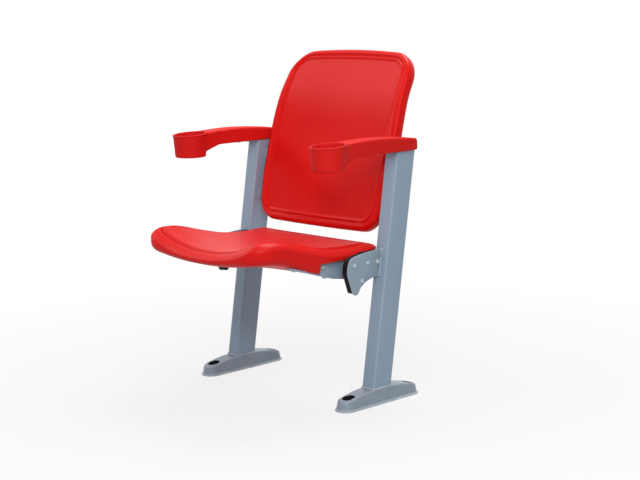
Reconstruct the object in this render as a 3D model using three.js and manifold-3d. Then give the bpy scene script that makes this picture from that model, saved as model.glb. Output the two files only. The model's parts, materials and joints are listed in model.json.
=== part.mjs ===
// A stadium seat: two leaning steel posts on cast feet, a fixed back shell, armrests with cup holders and a
// seat that tips up about a shaft on each side. Millimetres, +Z up, the seat faces -Y, the origin is on the
// floor at the centre of the footprint.
import * as THREE from 'three';
import { mergeVertices } from 'three/addons/utils/BufferGeometryUtils.js';
import Module from 'manifold-3d';

const wasm = await Module();
wasm.setup();

// Shared clearances and cutting values
const fitGap = 0.3;
const shaftGap = 0.4;
const cutOverrun = 2;
const roundSides = 20;
const smallRoundSides = 10;
const cupSides = 24;
const roundSteps = 3;
const cornerSteps = 4;
const footCornerSteps = 5;
const footSideSteps = 9;
const footRoundSteps = 2;
const plateCurveSteps = 7;
const armrestCornerSteps = 2;
const shellEndSteps = 3;
const shellSideSteps = 6;
const leastRadius = 2;
const mergeTolerance = 1e-4;

// Posts: rectangular tube that leans back, cut level at both ends
const postSpacing = 504;
const postWidth = 40;
const postDepth = 60;
const postWall = 2.5;
const postCornerRadius = 4;
const postLean = THREE.MathUtils.degToRad(9.7);
const postTopHeight = 599;

// Feet: cast body with rounded ends on a thin flange
const footWidth = 54;
const footFrontReach = 92.5;
const footRearReach = 169.5;
const footFlangeHeight = 3;
const footCoveInset = 4;
const footCoveHeight = 8;
const footDraft = 2.5;
const footTopHeight = 38;
const footEndHeight = 21;
const footFrontSlopeGap = 4;
const footRearSlopeGap = 10;
const footSlopePower = 1.6;
const footTopRound = 4;
const footSpineInset = 19;
const footSpigotHeight = 28;
const footSpigotWall = 6;
const footHoleFrontY = -57.5;
const footHoleRearY = 142.5;
const footPocketDiameter = 31;
const footPocketFloor = 8;
const footBoltHoleDiameter = 13;
const capThickness = 3;
const capSkirt = 2;
const capSink = 0.8;
const capDomeHeight = 1;

// Armrests: arched bar that runs into a tapered cup
const armrestWidth = 52;
const armrestOutset = 2;
const armrestRearInset = -4;
const armrestUnderGap = 1;
const armrestTopRise = 38;
const armrestTopRound = 5;
const armrestBottomRound = 2;
const armrestWall = 3.5;
const armrestElbowY = -29.5;
const armrestNeckY = -75.5;
const armrestNeckDrop = 13;
const armrestEndRound = 3;
const cupForwardY = -105.5;
const cupTopDiameter = 86;
const cupBottomDiameter = 78;
const cupHeight = 59;
const cupRimTilt = THREE.MathUtils.degToRad(4);
const cupLipStep = 1.6;
const cupLipHeight = 5;
const cupWall = 4;
const cupFloor = 4;
const cupFootRound = 4;
const cupDrainDiameter = 8;
const armrestPlateThickness = 4;
const armrestPlateWidth = 36;
const armrestPlateReach = 62;
const armrestScrewSpacing = 30;
const armrestBossDiameter = 12;

// Hinge: plate, housing, rivets and shaft
const pivotY = -3;
const pivotHeight = 328;
const hingePlateThickness = 4;
const hingePlateOuterX = 250;
const hingeHousingThickness = 17.7;
const hingeArcRadius = 45;
const hingeTopFrontAngle = THREE.MathUtils.degToRad(142);
const hingeArcEndAngle = THREE.MathUtils.degToRad(206);
const hingeTipDrop = 47;
const hingeTipForward = 20;
const hingeTipRadius = 11;
const hingeTipEndAngle = THREE.MathUtils.degToRad(330);
const hingeRootRise = 36;
const hingeRootDrop = 26;
const hingeTopCrown = 4;
const housingInset = 2.5;
const housingRootGap = 3;
const housingLugReach = 12;
const housingLugRise = 38;
const rivetCircleRadius = 26;
const rivetAngles = [150, 33, -88].map(THREE.MathUtils.degToRad);
const rivetShankDiameter = 6;
const rivetHeadDiameter = 12;
const rivetHeadHeight = 3.4;
const rivetTailDiameter = 10;
const rivetTailHeight = 2;
const rearRivetY = 51;
const rearRivetHeight = 341;
const shaftDiameter = 18;
const shaftEndWall = 4;
const hubCollarDiameter = 34;

// Seat shell: plan, edge line and underside
const seatHalfWidth = 216;
const seatRearY = 97.5;
const seatDepth = 395;
const seatRearHeight = 377;
const seatRearUnderHeight = 356;
const seatRise = 44;
const seatFrontCornerRadius = 58;
const seatRearCornerRadius = 28;
const seatTopEdgeRound = 14;
const seatBottomEdgeRound = 11;
const grooveInset = 24;
const grooveWidth = 11;
const grooveDepth = 3.5;
const shellWall = 3.5;
const blowHoleDiameter = 10;
const seatBlowHoleY = 14;
const seatNotchFrontY = -99;
const seatNotchFloorHeight = 352;
const saddlePower = 2.2;
const edgeFlat = 1;

// Seat arms: plate with a pivot boss and a bottom flange under the shell
const seatArmThickness = 4;
const seatArmOuterX = 208;
const seatArmBossRadius = 27;
const seatArmFlangeWidth = 24;
const seatArmFlangeRearY = -58;
const seatArmFlangeRearHeight = 310;
const seatArmFlangeFrontY = -186;
const seatArmFlangeSlope = THREE.MathUtils.degToRad(17.1);
const seatArmSideScrewY = -88;
const seatArmSideScrewHeight = 342.5;
const seatArmFlangeScrewSetIn = 16;
const seatRailWidth = 17;
const seatRailHeight = 30;

// Back shell: outline along its own curve
const backHalfWidth = 227;
const backGrooveInset = 24;
const backBlowHoleAlong = 60;
const backBottomHeight = 400.5;
const backTopHeight = 835.5;
const backBottomY = 74;
const backTopY = 238;
const backThickness = 34;
const backTopArch = 12;
const backBottomArch = 3;
const backHollow = 14;
const backTopCornerRadius = 70;
const backBottomCornerRadius = 56;
const backEdgeRound = 13;

// Back brackets and small screws
const bracketThickness = 3;
const bracketHeight = 26;
const bracketLegLength = 34;
const bracketUpperAlong = 170;
const bracketLowerAlong = 64;
const bracketPadThickness = 4;
const bracketScrewSetIn = 38;
const bracketBoltSetIn = 8.3;
const screwShankDiameter = 5;
const screwShankLength = 16;
const screwHeadDiameter = 10;
const screwHeadHeight = 3;
const screwHeadDome = 1.2;

// Shares of the sizes above, read along a piece: place first, value second
const seatSideRiseShares = [
  [0, 0.94], [0.07, 1.02], [0.14, 1.035], [0.2, 1], [0.28, 0.84], [0.35, 0.65], [0.45, 0.41],
  [0.56, 0.17], [0.66, 0.06], [0.76, 0.01], [1, 0],
];
const seatCentreRiseShares = [
  [0, 0.09], [0.06, 0.135], [0.2, 0.07], [0.38, -0.075], [0.6, -0.185], [0.8, -0.13], [0.93, -0.025],
  [1, 0],
];
const seatSideUnderShares = [
  [0, 0.43], [0.14, 0.25], [0.25, 0.03], [0.35, -0.25], [0.45, -0.5], [0.56, -0.64], [0.66, -0.58],
  [0.76, -0.32], [0.88, -0.06], [1, 0],
];
const seatCentreUnderShares = [
  [0, -0.04], [0.14, -0.13], [0.25, -0.3], [0.45, -0.62], [0.56, -0.7], [0.66, -0.63], [0.76, -0.34],
  [0.88, -0.06], [1, 0],
];
const backLeanShares = [
  [0, 0], [0.225, 0.145], [0.488, 0.355], [0.644, 0.482], [0.748, 0.59], [0.836, 0.72], [0.924, 0.87],
  [1, 1],
];
const backWidthShares = [
  [0, 0.94], [0.11, 0.958], [0.21, 0.975], [0.33, 0.993], [0.44, 1], [0.53, 0.998], [0.63, 0.989],
  [0.73, 0.975], [0.82, 0.96], [1, 0.935],
];
const backHollowShares = [[0, 0.08], [0.3, 1], [0.7, 1], [1, 0.08]];
const backRearFollowShare = 0.5;
const footCoveShare = 0.7;
const footCoveRiseShare = 0.4;
const panelRingShares = [0, 0.12, 0.34, 0.62, 1];
const underRingShares = [0, 0.3, 0.62, 1];
const cavityPanelShares = [0, 0.4, 1];
const cavityUnderShares = [0, 0.5, 1];
const armrestTopShares = [
  [0, 0.72], [0.16, 0.84], [0.32, 0.93], [0.52, 0.985], [0.73, 0.95], [0.9, 0.885], [1, 0.85],
];
const armrestWidthShares = [
  [0, 0.94], [0.2, 0.98], [0.5, 1], [0.8, 1.02], [0.87, 1.12], [0.91, 1.27], [0.95, 1.4],
  [1, 1.47],
];
const armrestSectionShares = [0, 0.16, 0.32, 0.46, 0.6, 0.8, 0.87, 0.91, 0.95, 1];

// Values that follow from the sizes above
const half = 1 / 2;
const quarterTurn = Math.PI * half;
const leanSlope = Math.tan(postLean);
const postLevelDepth = postDepth / Math.cos(postLean);
const postX = postSpacing * half;
const postInnerX = postX - postWidth * half;
const postFrontY = (height) => height * leanSlope;
const footSeatHeight = footTopHeight + fitGap;
const screwHoleDiameter = screwShankDiameter + fitGap * 2;
const seatFrontY = seatRearY - seatDepth;
const armrestUnderHeight = postTopHeight + armrestUnderGap;
const armrestRearY = postFrontY(postTopHeight) + postLevelDepth - armrestRearInset;
const armrestLength = armrestRearY - cupForwardY;
const hingePlateInnerX = hingePlateOuterX - hingePlateThickness;
const housingOuterX = hingePlateInnerX - fitGap;
const housingInnerX = housingOuterX - hingeHousingThickness;
const seatArmInnerX = seatArmOuterX - seatArmThickness;

// Materials
const paint = { red: 0xcc1f1c, grey: 0x8797a6, castGrey: 0x93a1ae, black: 0x17181b, zinc: 0xb9bec4 };
function material(colour, roughness, metalness) {
  return new THREE.MeshStandardMaterial({ color: colour, roughness, metalness });
}
const redPlastic = material(paint.red, 0.38, 0);
const greyPaint = material(paint.grey, 0.45, 0.1);
const castPaint = material(paint.castGrey, 0.5, 0.2);
const blackPlastic = material(paint.black, 0.55, 0);
const zincSteel = material(paint.zinc, 0.35, 0.9);

// Solids and geometries
function welded(geometry) {
  const bare = geometry.clone();
  bare.deleteAttribute('normal');
  bare.deleteAttribute('uv');
  const merged = mergeVertices(bare, mergeTolerance);
  const kept = [];
  for (let corner = 0; corner < merged.index.count; corner += 3) {
    const face = [0, 1, 2].map((step) => merged.index.getX(corner + step));
    if (new Set(face).size === face.length) kept.push(...face);
  }
  merged.setIndex(kept);
  return merged;
}

function toSolid(geometry) {
  const merged = welded(geometry);
  const mesh = new wasm.Mesh({
    numProp: 3,
    vertProperties: new Float32Array(merged.attributes.position.array),
    triVerts: new Uint32Array(merged.index.array),
  });
  return new wasm.Manifold(mesh);
}

function toGeometry(solid) {
  const mesh = solid.getMesh();
  const geometry = new THREE.BufferGeometry();
  geometry.setAttribute('position', new THREE.BufferAttribute(new Float32Array(mesh.vertProperties), 3));
  geometry.setIndex(new THREE.BufferAttribute(new Uint32Array(mesh.triVerts), 1));
  geometry.computeVertexNormals();
  return geometry;
}

function combine(first, { add = [], cut = [], keep = [] }) {
  let solid = toSolid(first);
  add.forEach((geometry) => { solid = solid.add(toSolid(geometry)); });
  cut.forEach((geometry) => { solid = solid.subtract(toSolid(geometry)); });
  keep.forEach((geometry) => { solid = solid.intersect(toSolid(geometry)); });
  return toGeometry(solid);
}

function flipFaces(source) {
  const geometry = welded(source);
  const index = geometry.index.array;
  for (let corner = 0; corner < index.length; corner += 3) {
    [index[corner + 1], index[corner + 2]] = [index[corner + 2], index[corner + 1]];
  }
  geometry.computeVertexNormals();
  return geometry;
}

function outward(geometry) {
  return toSolid(geometry).volume() < 0 ? flipFaces(geometry) : welded(geometry);
}

function mirrored(geometry) {
  return flipFaces(geometry.clone().scale(-1, 1, 1));
}

// A ring's end is closed by a fan from its middle, or by rungs across it where it starts on its mirror line
function fanEnd(ring, start, points) {
  const middle = ring.reduce((sum, point) => sum.add(point), new THREE.Vector3()).divideScalar(ring.length);
  const centre = points.push(middle) - 1;
  return ring.flatMap((_, step) => [centre, start + ((step + 1) % ring.length), start + step]);
}

function ladderEnd(ring, start) {
  const faces = [];
  for (let step = 0; step < ring.length * half; step += 1) {
    const left = (ring.length - step) % ring.length;
    const nextLeft = ring.length - step - 1;
    if (step > 0) faces.push(left, nextLeft, step);
    if (nextLeft !== step + 1) faces.push(step, nextLeft, step + 1);
  }
  return faces.map((place) => start + place);
}

// A closed skin through rings that have as many points each
function ringSkin(rings, endFaces = fanEnd) {
  const count = rings[0].length;
  const points = rings.flat();
  const faces = [];
  for (let ring = 0; ring + 1 < rings.length; ring += 1) {
    for (let step = 0; step < count; step += 1) {
      const a = ring * count + step;
      const b = ring * count + ((step + 1) % count);
      faces.push(a, b, b + count, a, b + count, a + count);
    }
  }
  const last = rings.length - 1;
  faces.push(...endFaces(rings[0], 0, points));
  faces.push(...endFaces(rings[last], last * count, points).reverse());
  const geometry = new THREE.BufferGeometry().setFromPoints(points);
  geometry.setIndex(faces);
  return outward(geometry);
}

// A rounded outline as [across, along] places, starting on the mirror line, with as many points at any inset
function roundedOutline({ width, low, high, lowRadius, highRadius, steps, inset = 0 }) {
  const reach = width * half - inset;
  const start = low + inset;
  const end = high - inset;
  const firstRadius = Math.max(lowRadius - inset, leastRadius);
  const lastRadius = Math.max(highRadius - inset, leastRadius);
  const places = [];
  const line = (x0, y0, x1, y1, count) => {
    for (let step = 0; step < count; step += 1) {
      const t = step / count;
      places.push([x0 + (x1 - x0) * t, y0 + (y1 - y0) * t]);
    }
  };
  const arc = (centreX, centreY, radius, from) => {
    for (let step = 0; step < steps.corner; step += 1) {
      const angle = from + quarterTurn * (step / steps.corner);
      places.push([centreX + radius * Math.cos(angle), centreY + radius * Math.sin(angle)]);
    }
  };
  line(0, start, reach - firstRadius, start, steps.end);
  arc(reach - firstRadius, start + firstRadius, firstRadius, -quarterTurn);
  line(reach, start + firstRadius, reach, end - lastRadius, steps.side);
  arc(reach - lastRadius, end - lastRadius, lastRadius, 0);
  line(reach - lastRadius, end, 0, end, steps.end);
  const leftHalf = places.slice(1).reverse().map(([across, along]) => [-across, along]);
  return [...places, [0, end], ...leftHalf];
}

function boxBetween(low, high) {
  const size = high.map((value, axis) => value - low[axis]);
  const centre = high.map((value, axis) => (value + low[axis]) * half);
  return new THREE.BoxGeometry(...size).translate(...centre);
}

// A cylinder from one place to another along X, Y or Z
function rod(diameter, from, to, axis, sides = roundSides) {
  const geometry = new THREE.CylinderGeometry(diameter * half, diameter * half, to - from, sides);
  geometry.translate(0, (from + to) * half, 0);
  if (axis === 'x') geometry.rotateZ(-quarterTurn);
  if (axis === 'z') geometry.rotateX(quarterTurn);
  return geometry;
}

// A turned piece from [radius, place] pairs, along Z or along X
function turned(pairs, axis, sides = roundSides) {
  const points = pairs.map(([radius, place]) => new THREE.Vector2(radius, place));
  const geometry = new THREE.LatheGeometry(points, sides).rotateX(quarterTurn);
  if (axis === 'x') geometry.rotateY(quarterTurn);
  return outward(geometry);
}

// An outline drawn in the YZ plane, made into a plate between two X places
function sidePlate(outline, fromX, toX, curveSteps = roundSides) {
  const geometry = new THREE.ExtrudeGeometry(outline, {
    depth: toX - fromX,
    bevelEnabled: false,
    curveSegments: curveSteps,
  });
  geometry.applyMatrix4(new THREE.Matrix4().makeBasis(
    new THREE.Vector3(0, 1, 0),
    new THREE.Vector3(0, 0, 1),
    new THREE.Vector3(1, 0, 0),
  ));
  return geometry.translate(fromX, 0, 0);
}

// A smooth line through hand-chosen [place, value] pairs
function smoothLine(pairs) {
  const slopeAt = (index) => {
    const before = pairs[Math.max(index - 1, 0)];
    const after = pairs[Math.min(index + 1, pairs.length - 1)];
    return (after[1] - before[1]) / (after[0] - before[0]);
  };
  return (place) => {
    let low = 0;
    while (low + 2 < pairs.length && place > pairs[low + 1][0]) low += 1;
    const [x0, y0] = pairs[low];
    const [x1, y1] = pairs[low + 1];
    const span = x1 - x0;
    const t = THREE.MathUtils.clamp((place - x0) / span, 0, 1);
    const ease = t * t * (3 - 2 * t);
    const bend = t * (1 - t) * span * (slopeAt(low) * (1 - t) - slopeAt(low + 1) * t);
    return y0 + (y1 - y0) * ease + bend;
  };
}

// Posts: a rectangular tube drawn along its length, leant back and trimmed level
function roundedRectangle(shape, width, depth, radius, inset) {
  const x = width * half - inset;
  const y0 = inset;
  const y1 = depth - inset;
  const r = Math.max(radius - inset, leastRadius * half);
  shape.moveTo(-x + r, y0);
  shape.absarc(x - r, y0 + r, r, -quarterTurn, 0, false);
  shape.absarc(x - r, y1 - r, r, 0, quarterTurn, false);
  shape.absarc(-x + r, y1 - r, r, quarterTurn, 2 * quarterTurn, false);
  shape.absarc(-x + r, y0 + r, r, 2 * quarterTurn, 3 * quarterTurn, false);
  return shape;
}

function leantPrism(inset, lowHeight, highHeight, wall = 0) {
  const outline = roundedRectangle(new THREE.Shape(), postWidth, postDepth, postCornerRadius, inset);
  if (wall > 0) {
    outline.holes.push(roundedRectangle(new THREE.Path(), postWidth, postDepth, postCornerRadius, wall));
  }
  const length = (highHeight + postDepth) / Math.cos(postLean);
  const tube = new THREE.ExtrudeGeometry(outline, {
    depth: length,
    bevelEnabled: false,
    curveSegments: cornerSteps,
  });
  tube.rotateX(-postLean);
  const trim = boxBetween([-postWidth, -postDepth, lowHeight], [postWidth, length, highHeight]);
  return combine(tube, { keep: [trim] });
}

function postGeometry(boltPlaces) {
  const holes = boltPlaces.map(([y, z]) => rod(screwHoleDiameter, -postWidth * half - cutOverrun,
    -postWidth * half + postWall + cutOverrun, 'x', smallRoundSides).translate(0, y, z));
  return combine(leantPrism(0, footSeatHeight, postTopHeight, postWall), { cut: holes });
}

// Feet: rings rise from the flange over a cove and a drafted wall to the sloping top
const footPostFrontY = postFrontY(footTopHeight);
const footPostRearY = footPostFrontY + postLevelDepth;
function footTop(y) {
  const frontStart = footPostFrontY - footFrontSlopeGap;
  const rearStart = footPostRearY + footRearSlopeGap;
  const front = (frontStart - y) / (frontStart + footFrontReach);
  const rear = (y - rearStart) / (footRearReach - rearStart);
  return footTopHeight - (footTopHeight - footEndHeight) * Math.max(front, rear, 0) ** footSlopePower;
}

function footGeometry() {
  const outline = (inset) => roundedOutline({
    width: footWidth,
    low: -footFrontReach,
    high: footRearReach,
    lowRadius: footWidth * half,
    highRadius: footWidth * half,
    steps: { end: 0, corner: footCornerSteps, side: footSideSteps },
    inset,
  });
  const level = (inset, height) => outline(inset).map(([x, y]) => new THREE.Vector3(x, y, height));
  const sloped = (inset, sink) => outline(inset).map(([x, y]) => new THREE.Vector3(x, y, footTop(y) - sink));
  const wallInset = footCoveInset + footDraft;
  const coveMiddleHeight = THREE.MathUtils.lerp(footFlangeHeight, footCoveHeight, footCoveRiseShare);
  const body = ringSkin([
    level(0, 0),
    level(0, footFlangeHeight),
    level(footCoveInset * footCoveShare, coveMiddleHeight),
    level(footCoveInset, footCoveHeight),
    ...edgeRound(footTopRound, footRoundSteps).reverse()
      .map(({ inset, sink }) => sloped(wallInset + inset, sink)),
    sloped(footSpineInset, 0),
  ], ladderEnd);
  const spigotTop = footTopHeight + footSpigotHeight;
  const spigot = leantPrism(postWall + fitGap, footEndHeight, spigotTop);
  const spigotBore = leantPrism(postWall + footSpigotWall, footTopHeight, spigotTop + cutOverrun);
  const holes = [footHoleFrontY, footHoleRearY].flatMap((y) => [
    rod(footPocketDiameter, footPocketFloor, footTopHeight + cutOverrun, 'z').translate(0, y, 0),
    rod(footBoltHoleDiameter, -cutOverrun, footPocketFloor + cutOverrun, 'z', smallRoundSides)
      .translate(0, y, 0),
  ]);
  return combine(body, { add: [spigot], cut: [spigotBore, ...holes] });
}

// Bolt cap: a domed disc on a skirt, sheared so that its face runs with the foot's sloping top
function capGeometry(holeY) {
  const radius = footPocketDiameter * half - fitGap;
  const slope = (footTop(holeY + radius) - footTop(holeY - radius)) / (2 * radius);
  const top = footTop(holeY) - capSink;
  const foot = footPocketFloor + fitGap + radius * Math.abs(slope);
  return turned([
    [0, top - capThickness],
    [radius - capSkirt, top - capThickness],
    [radius - capSkirt, foot],
    [radius, foot],
    [radius, top - capDomeHeight],
    [radius - capDomeHeight, top],
    [0, top + capDomeHeight],
  ], 'z', roundSides).applyMatrix4(new THREE.Matrix4().makeShear(0, 0, 0, slope, 0, 0));
}

// Rings that round an edge, from its crest to its side
function edgeRound(radius, steps = roundSteps) {
  return Array.from({ length: steps + 1 }, (_, step) => {
    const angle = quarterTurn * (1 - step / steps);
    return { inset: radius * (1 - Math.cos(angle)), sink: radius * (1 - Math.sin(angle)) };
  });
}

// Ring shares and round steps for a shell's outside and for its cavity
const skinDetail = { panel: panelRingShares, under: underRingShares, round: roundSteps };
const cavityDetail = { panel: cavityPanelShares, under: cavityUnderShares, round: 1 };

// A groove between the rim and the panel, then rings across the panel, from the rim inwards
function panelRings(inset, reach, shares) {
  const panelEdge = inset + grooveWidth * half;
  const spread = reach - panelEdge - 2 * leastRadius;
  return [
    { inset: inset - grooveWidth * half, sink: 0 },
    { inset, sink: grooveDepth },
    ...shares.map((share) => ({ inset: panelEdge + spread * share, sink: 0 })),
  ];
}

// Seat shell: saddle-shaped top, deep underside at the front, thin rear edge
const sideRise = smoothLine(seatSideRiseShares);
const centreRise = smoothLine(seatCentreRiseShares);
const sideUnder = smoothLine(seatSideUnderShares);
const centreUnder = smoothLine(seatCentreUnderShares);
function saddle(base, centreLine, sideLine, x, y) {
  const place = (y - seatFrontY) / seatDepth;
  const centre = centreLine(place);
  const lift = (sideLine(place) - centre) * (Math.abs(x) / seatHalfWidth) ** saddlePower;
  return base + seatRise * (centre + lift);
}
const seatTop = (x, y) => saddle(seatRearHeight, centreRise, sideRise, x, y);
const seatUnder = (x, y) => saddle(seatRearUnderHeight, centreUnder, sideUnder, x, y);

function seatSkin(shrink, detail) {
  const ring = (inset, heightAt) => roundedOutline({
    width: seatHalfWidth * 2,
    low: seatFrontY,
    high: seatRearY,
    lowRadius: seatFrontCornerRadius,
    highRadius: seatRearCornerRadius,
    steps: { end: shellEndSteps, corner: cornerSteps, side: shellSideSteps },
    inset: inset + shrink,
  }).map(([x, y]) => new THREE.Vector3(x, y, heightAt(x, y)));
  const topRound = seatTopEdgeRound - shrink;
  const underRound = seatBottomEdgeRound - shrink;
  const squeeze = (x, y) => {
    const thickness = seatTop(x, y) - seatUnder(x, y) - 2 * shrink;
    return Math.min(1, (thickness - edgeFlat) / (topRound + underRound));
  };
  const reach = Math.min(seatHalfWidth, seatDepth * half) - shrink;
  const top = panelRings(grooveInset - shrink, reach, detail.panel).reverse()
    .map(({ inset, sink }) => ring(inset, (x, y) => seatTop(x, y) - shrink - sink));
  const topEdge = edgeRound(topRound, detail.round)
    .map(({ inset, sink }) => ring(inset, (x, y) => seatTop(x, y) - shrink - sink * squeeze(x, y)));
  const underEdge = edgeRound(underRound, detail.round).reverse()
    .map(({ inset, sink }) => ring(inset, (x, y) => seatUnder(x, y) + shrink + sink * squeeze(x, y)));
  const spread = reach - underRound - 2 * leastRadius;
  const under = detail.under
    .map((share) => ring(underRound + spread * share, (x, y) => seatUnder(x, y) + shrink));
  return ringSkin([...top, ...topEdge, ...underEdge, ...under]);
}

// The plane of the seat arm's flange, in the side view
const flangeSlope = Math.tan(seatArmFlangeSlope);
const flangeThickness = seatArmThickness / Math.cos(seatArmFlangeSlope);
const flangeUnder = (y) => seatArmFlangeRearHeight + (seatArmFlangeRearY - y) * flangeSlope;
const flangeTop = (y) => flangeUnder(y) + flangeThickness;
const flangeInnerX = seatArmOuterX - seatArmFlangeWidth;
const seatCutLow = pivotHeight - seatRise;
const railOuterX = seatArmInnerX - fitGap;
const railX = railOuterX - seatRailWidth * half;

function polygon(corners) {
  return new THREE.Shape(corners.map(([y, z]) => new THREE.Vector2(y, z)));
}

// The flange screws stand square to the flange
function flangeFrame(y) {
  return new THREE.Matrix4().makeRotationX(-seatArmFlangeSlope).setPosition(railX, y, flangeUnder(y));
}
const flangeScrewPlaces = [
  seatArmFlangeFrontY + seatArmFlangeScrewSetIn,
  seatArmFlangeRearY - seatArmFlangeScrewSetIn,
];

function both(geometry) {
  return [geometry, mirrored(geometry)];
}

function seatShellGeometry() {
  const notch = (wall) => boxBetween(
    [seatArmInnerX - fitGap - wall, seatNotchFrontY - wall, seatCutLow],
    [seatHalfWidth + cutOverrun, seatRearY + cutOverrun, seatNotchFloorHeight + wall],
  );
  const frontY = seatArmFlangeFrontY - fitGap;
  const rearY = seatArmFlangeRearY + fitGap;
  const landing = (y) => flangeTop(y) + fitGap;
  const landingCut = (wall) => sidePlate(polygon([
    [frontY - wall, seatCutLow],
    [rearY + wall, seatCutLow],
    [rearY + wall, landing(rearY) + wall],
    [frontY - wall, landing(frontY) + wall],
  ]), flangeInnerX - fitGap - wall, seatHalfWidth + cutOverrun);
  const rail = sidePlate(polygon([
    [frontY, landing(frontY)],
    [rearY, landing(rearY)],
    [rearY, landing(rearY) + seatRailHeight],
    [frontY, landing(frontY) + seatRailHeight],
  ]), railOuterX - seatRailWidth, railOuterX);
  const cavity = combine(seatSkin(shellWall, cavityDetail), {
    cut: [...both(notch(shellWall)), ...both(landingCut(shellWall))],
  });
  const screwHoles = flangeScrewPlaces.flatMap((y) => both(
    rod(screwHoleDiameter, 0, screwShankLength + fitGap, 'z', smallRoundSides).applyMatrix4(flangeFrame(y)),
  ));
  const sideHole = rod(screwHoleDiameter, seatArmInnerX - screwShankLength, seatArmInnerX, 'x',
    smallRoundSides).translate(0, seatArmSideScrewY, seatArmSideScrewHeight);
  const blowHoleTop = seatUnder(0, seatBlowHoleY) + shellWall + cutOverrun;
  const blowHole = rod(blowHoleDiameter, seatCutLow, blowHoleTop, 'z', smallRoundSides)
    .translate(0, seatBlowHoleY, 0);
  const shell = combine(seatSkin(0, skinDetail), {
    cut: [cavity, ...both(notch(0)), ...both(landingCut(0)), blowHole],
  });
  return combine(shell, { add: both(rail), cut: [...screwHoles, ...both(sideHole)] });
}

// Seat arm: pivot disc, web and the flange under the shell
function seatArmGeometry() {
  const topHeight = seatNotchFloorHeight - fitGap;
  const frontY = seatNotchFrontY + fitGap;
  const web = sidePlate(polygon([
    [frontY, topHeight],
    [frontY, flangeUnder(frontY)],
    [seatArmFlangeRearY, flangeUnder(seatArmFlangeRearY)],
    [pivotY, pivotHeight - seatArmBossRadius],
    [pivotY + seatArmBossRadius * half, pivotHeight],
    [pivotY + seatArmBossRadius * half, topHeight],
  ]), seatArmInnerX, seatArmOuterX);
  const disc = rod(seatArmBossRadius * 2, seatArmInnerX, seatArmOuterX, 'x')
    .translate(0, pivotY, pivotHeight);
  const flange = sidePlate(polygon([
    [seatArmFlangeFrontY, flangeUnder(seatArmFlangeFrontY)],
    [seatArmFlangeRearY, flangeUnder(seatArmFlangeRearY)],
    [seatArmFlangeRearY, flangeTop(seatArmFlangeRearY)],
    [seatArmFlangeFrontY, flangeTop(seatArmFlangeFrontY)],
  ]), flangeInnerX, seatArmOuterX);
  const bore = rod(shaftDiameter + 2 * fitGap, seatArmInnerX - cutOverrun, seatArmOuterX + cutOverrun, 'x')
    .translate(0, pivotY, pivotHeight);
  const above = boxBetween(
    [seatArmInnerX - cutOverrun, seatNotchFrontY, topHeight],
    [seatArmOuterX + cutOverrun, seatRearY, topHeight + seatRise],
  );
  const sideHole = rod(screwHoleDiameter, seatArmInnerX - cutOverrun, seatArmOuterX + cutOverrun, 'x',
    smallRoundSides).translate(0, seatArmSideScrewY, seatArmSideScrewHeight);
  const flangeHoles = flangeScrewPlaces.map((y) => (
    rod(screwHoleDiameter, -cutOverrun, seatArmThickness + cutOverrun, 'z', smallRoundSides)
      .applyMatrix4(flangeFrame(y))));
  return combine(web, { add: [disc, flange], cut: [above, bore, sideHole, ...flangeHoles] });
}

// Pivot hub: spigot in the arm, collar between arm and housing, shaft in the housing's bore
function hubGeometry() {
  const shaft = shaftDiameter * half;
  const collar = hubCollarDiameter * half;
  const armSide = seatArmOuterX + fitGap;
  const housingSide = housingInnerX - fitGap;
  const end = housingOuterX - shaftEndWall - fitGap;
  return turned([
    [0, seatArmInnerX],
    [shaft, seatArmInnerX],
    [shaft, armSide],
    [collar, armSide],
    [collar, housingSide],
    [shaft, housingSide],
    [shaft, end],
    [0, end],
  ], 'x');
}

// Hinge plate and housing: an arc about the shaft, a rounded lower tip and a root at the post
function hingeOutline(inset, rootGap) {
  const arcRadius = hingeArcRadius - inset;
  const tipRadius = hingeTipRadius - inset;
  const tipY = pivotY - hingeTipForward;
  const tipZ = pivotHeight - hingeTipDrop;
  const rootLowZ = pivotHeight - hingeRootDrop + inset;
  const rootHighZ = pivotHeight + hingeRootRise - inset;
  const rootY = (height) => postFrontY(height) - rootGap;
  const frontY = pivotY + arcRadius * Math.cos(hingeTopFrontAngle);
  const frontZ = pivotHeight + arcRadius * Math.sin(hingeTopFrontAngle);
  const crownZ = rootHighZ + hingeTopCrown;
  const outline = new THREE.Shape();
  outline.moveTo(rootY(rootHighZ), rootHighZ);
  outline.quadraticCurveTo(frontY + tipRadius, crownZ, frontY, frontZ);
  outline.absarc(pivotY, pivotHeight, arcRadius, hingeTopFrontAngle, hingeArcEndAngle, false);
  outline.absarc(tipY, tipZ, tipRadius, hingeArcEndAngle, hingeTipEndAngle, false);
  outline.quadraticCurveTo(tipY + 2 * tipRadius, rootLowZ - hingeTopCrown, rootY(rootLowZ), rootLowZ);
  return outline;
}

const rivetPlaces = [
  ...rivetAngles.map((angle) => [
    pivotY + rivetCircleRadius * Math.cos(angle),
    pivotHeight + rivetCircleRadius * Math.sin(angle),
  ]),
  [rearRivetY, rearRivetHeight],
];

function rivetHoles(fromX, toX) {
  return rivetPlaces.map(([y, z]) => rod(rivetShankDiameter + 2 * fitGap, fromX - cutOverrun,
    toX + cutOverrun, 'x', smallRoundSides).translate(0, y, z));
}

function hingePlateGeometry() {
  const plate = sidePlate(hingeOutline(0, fitGap), hingePlateInnerX, hingePlateOuterX, plateCurveSteps);
  return combine(plate, { cut: rivetHoles(hingePlateInnerX, hingePlateOuterX) });
}

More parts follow.
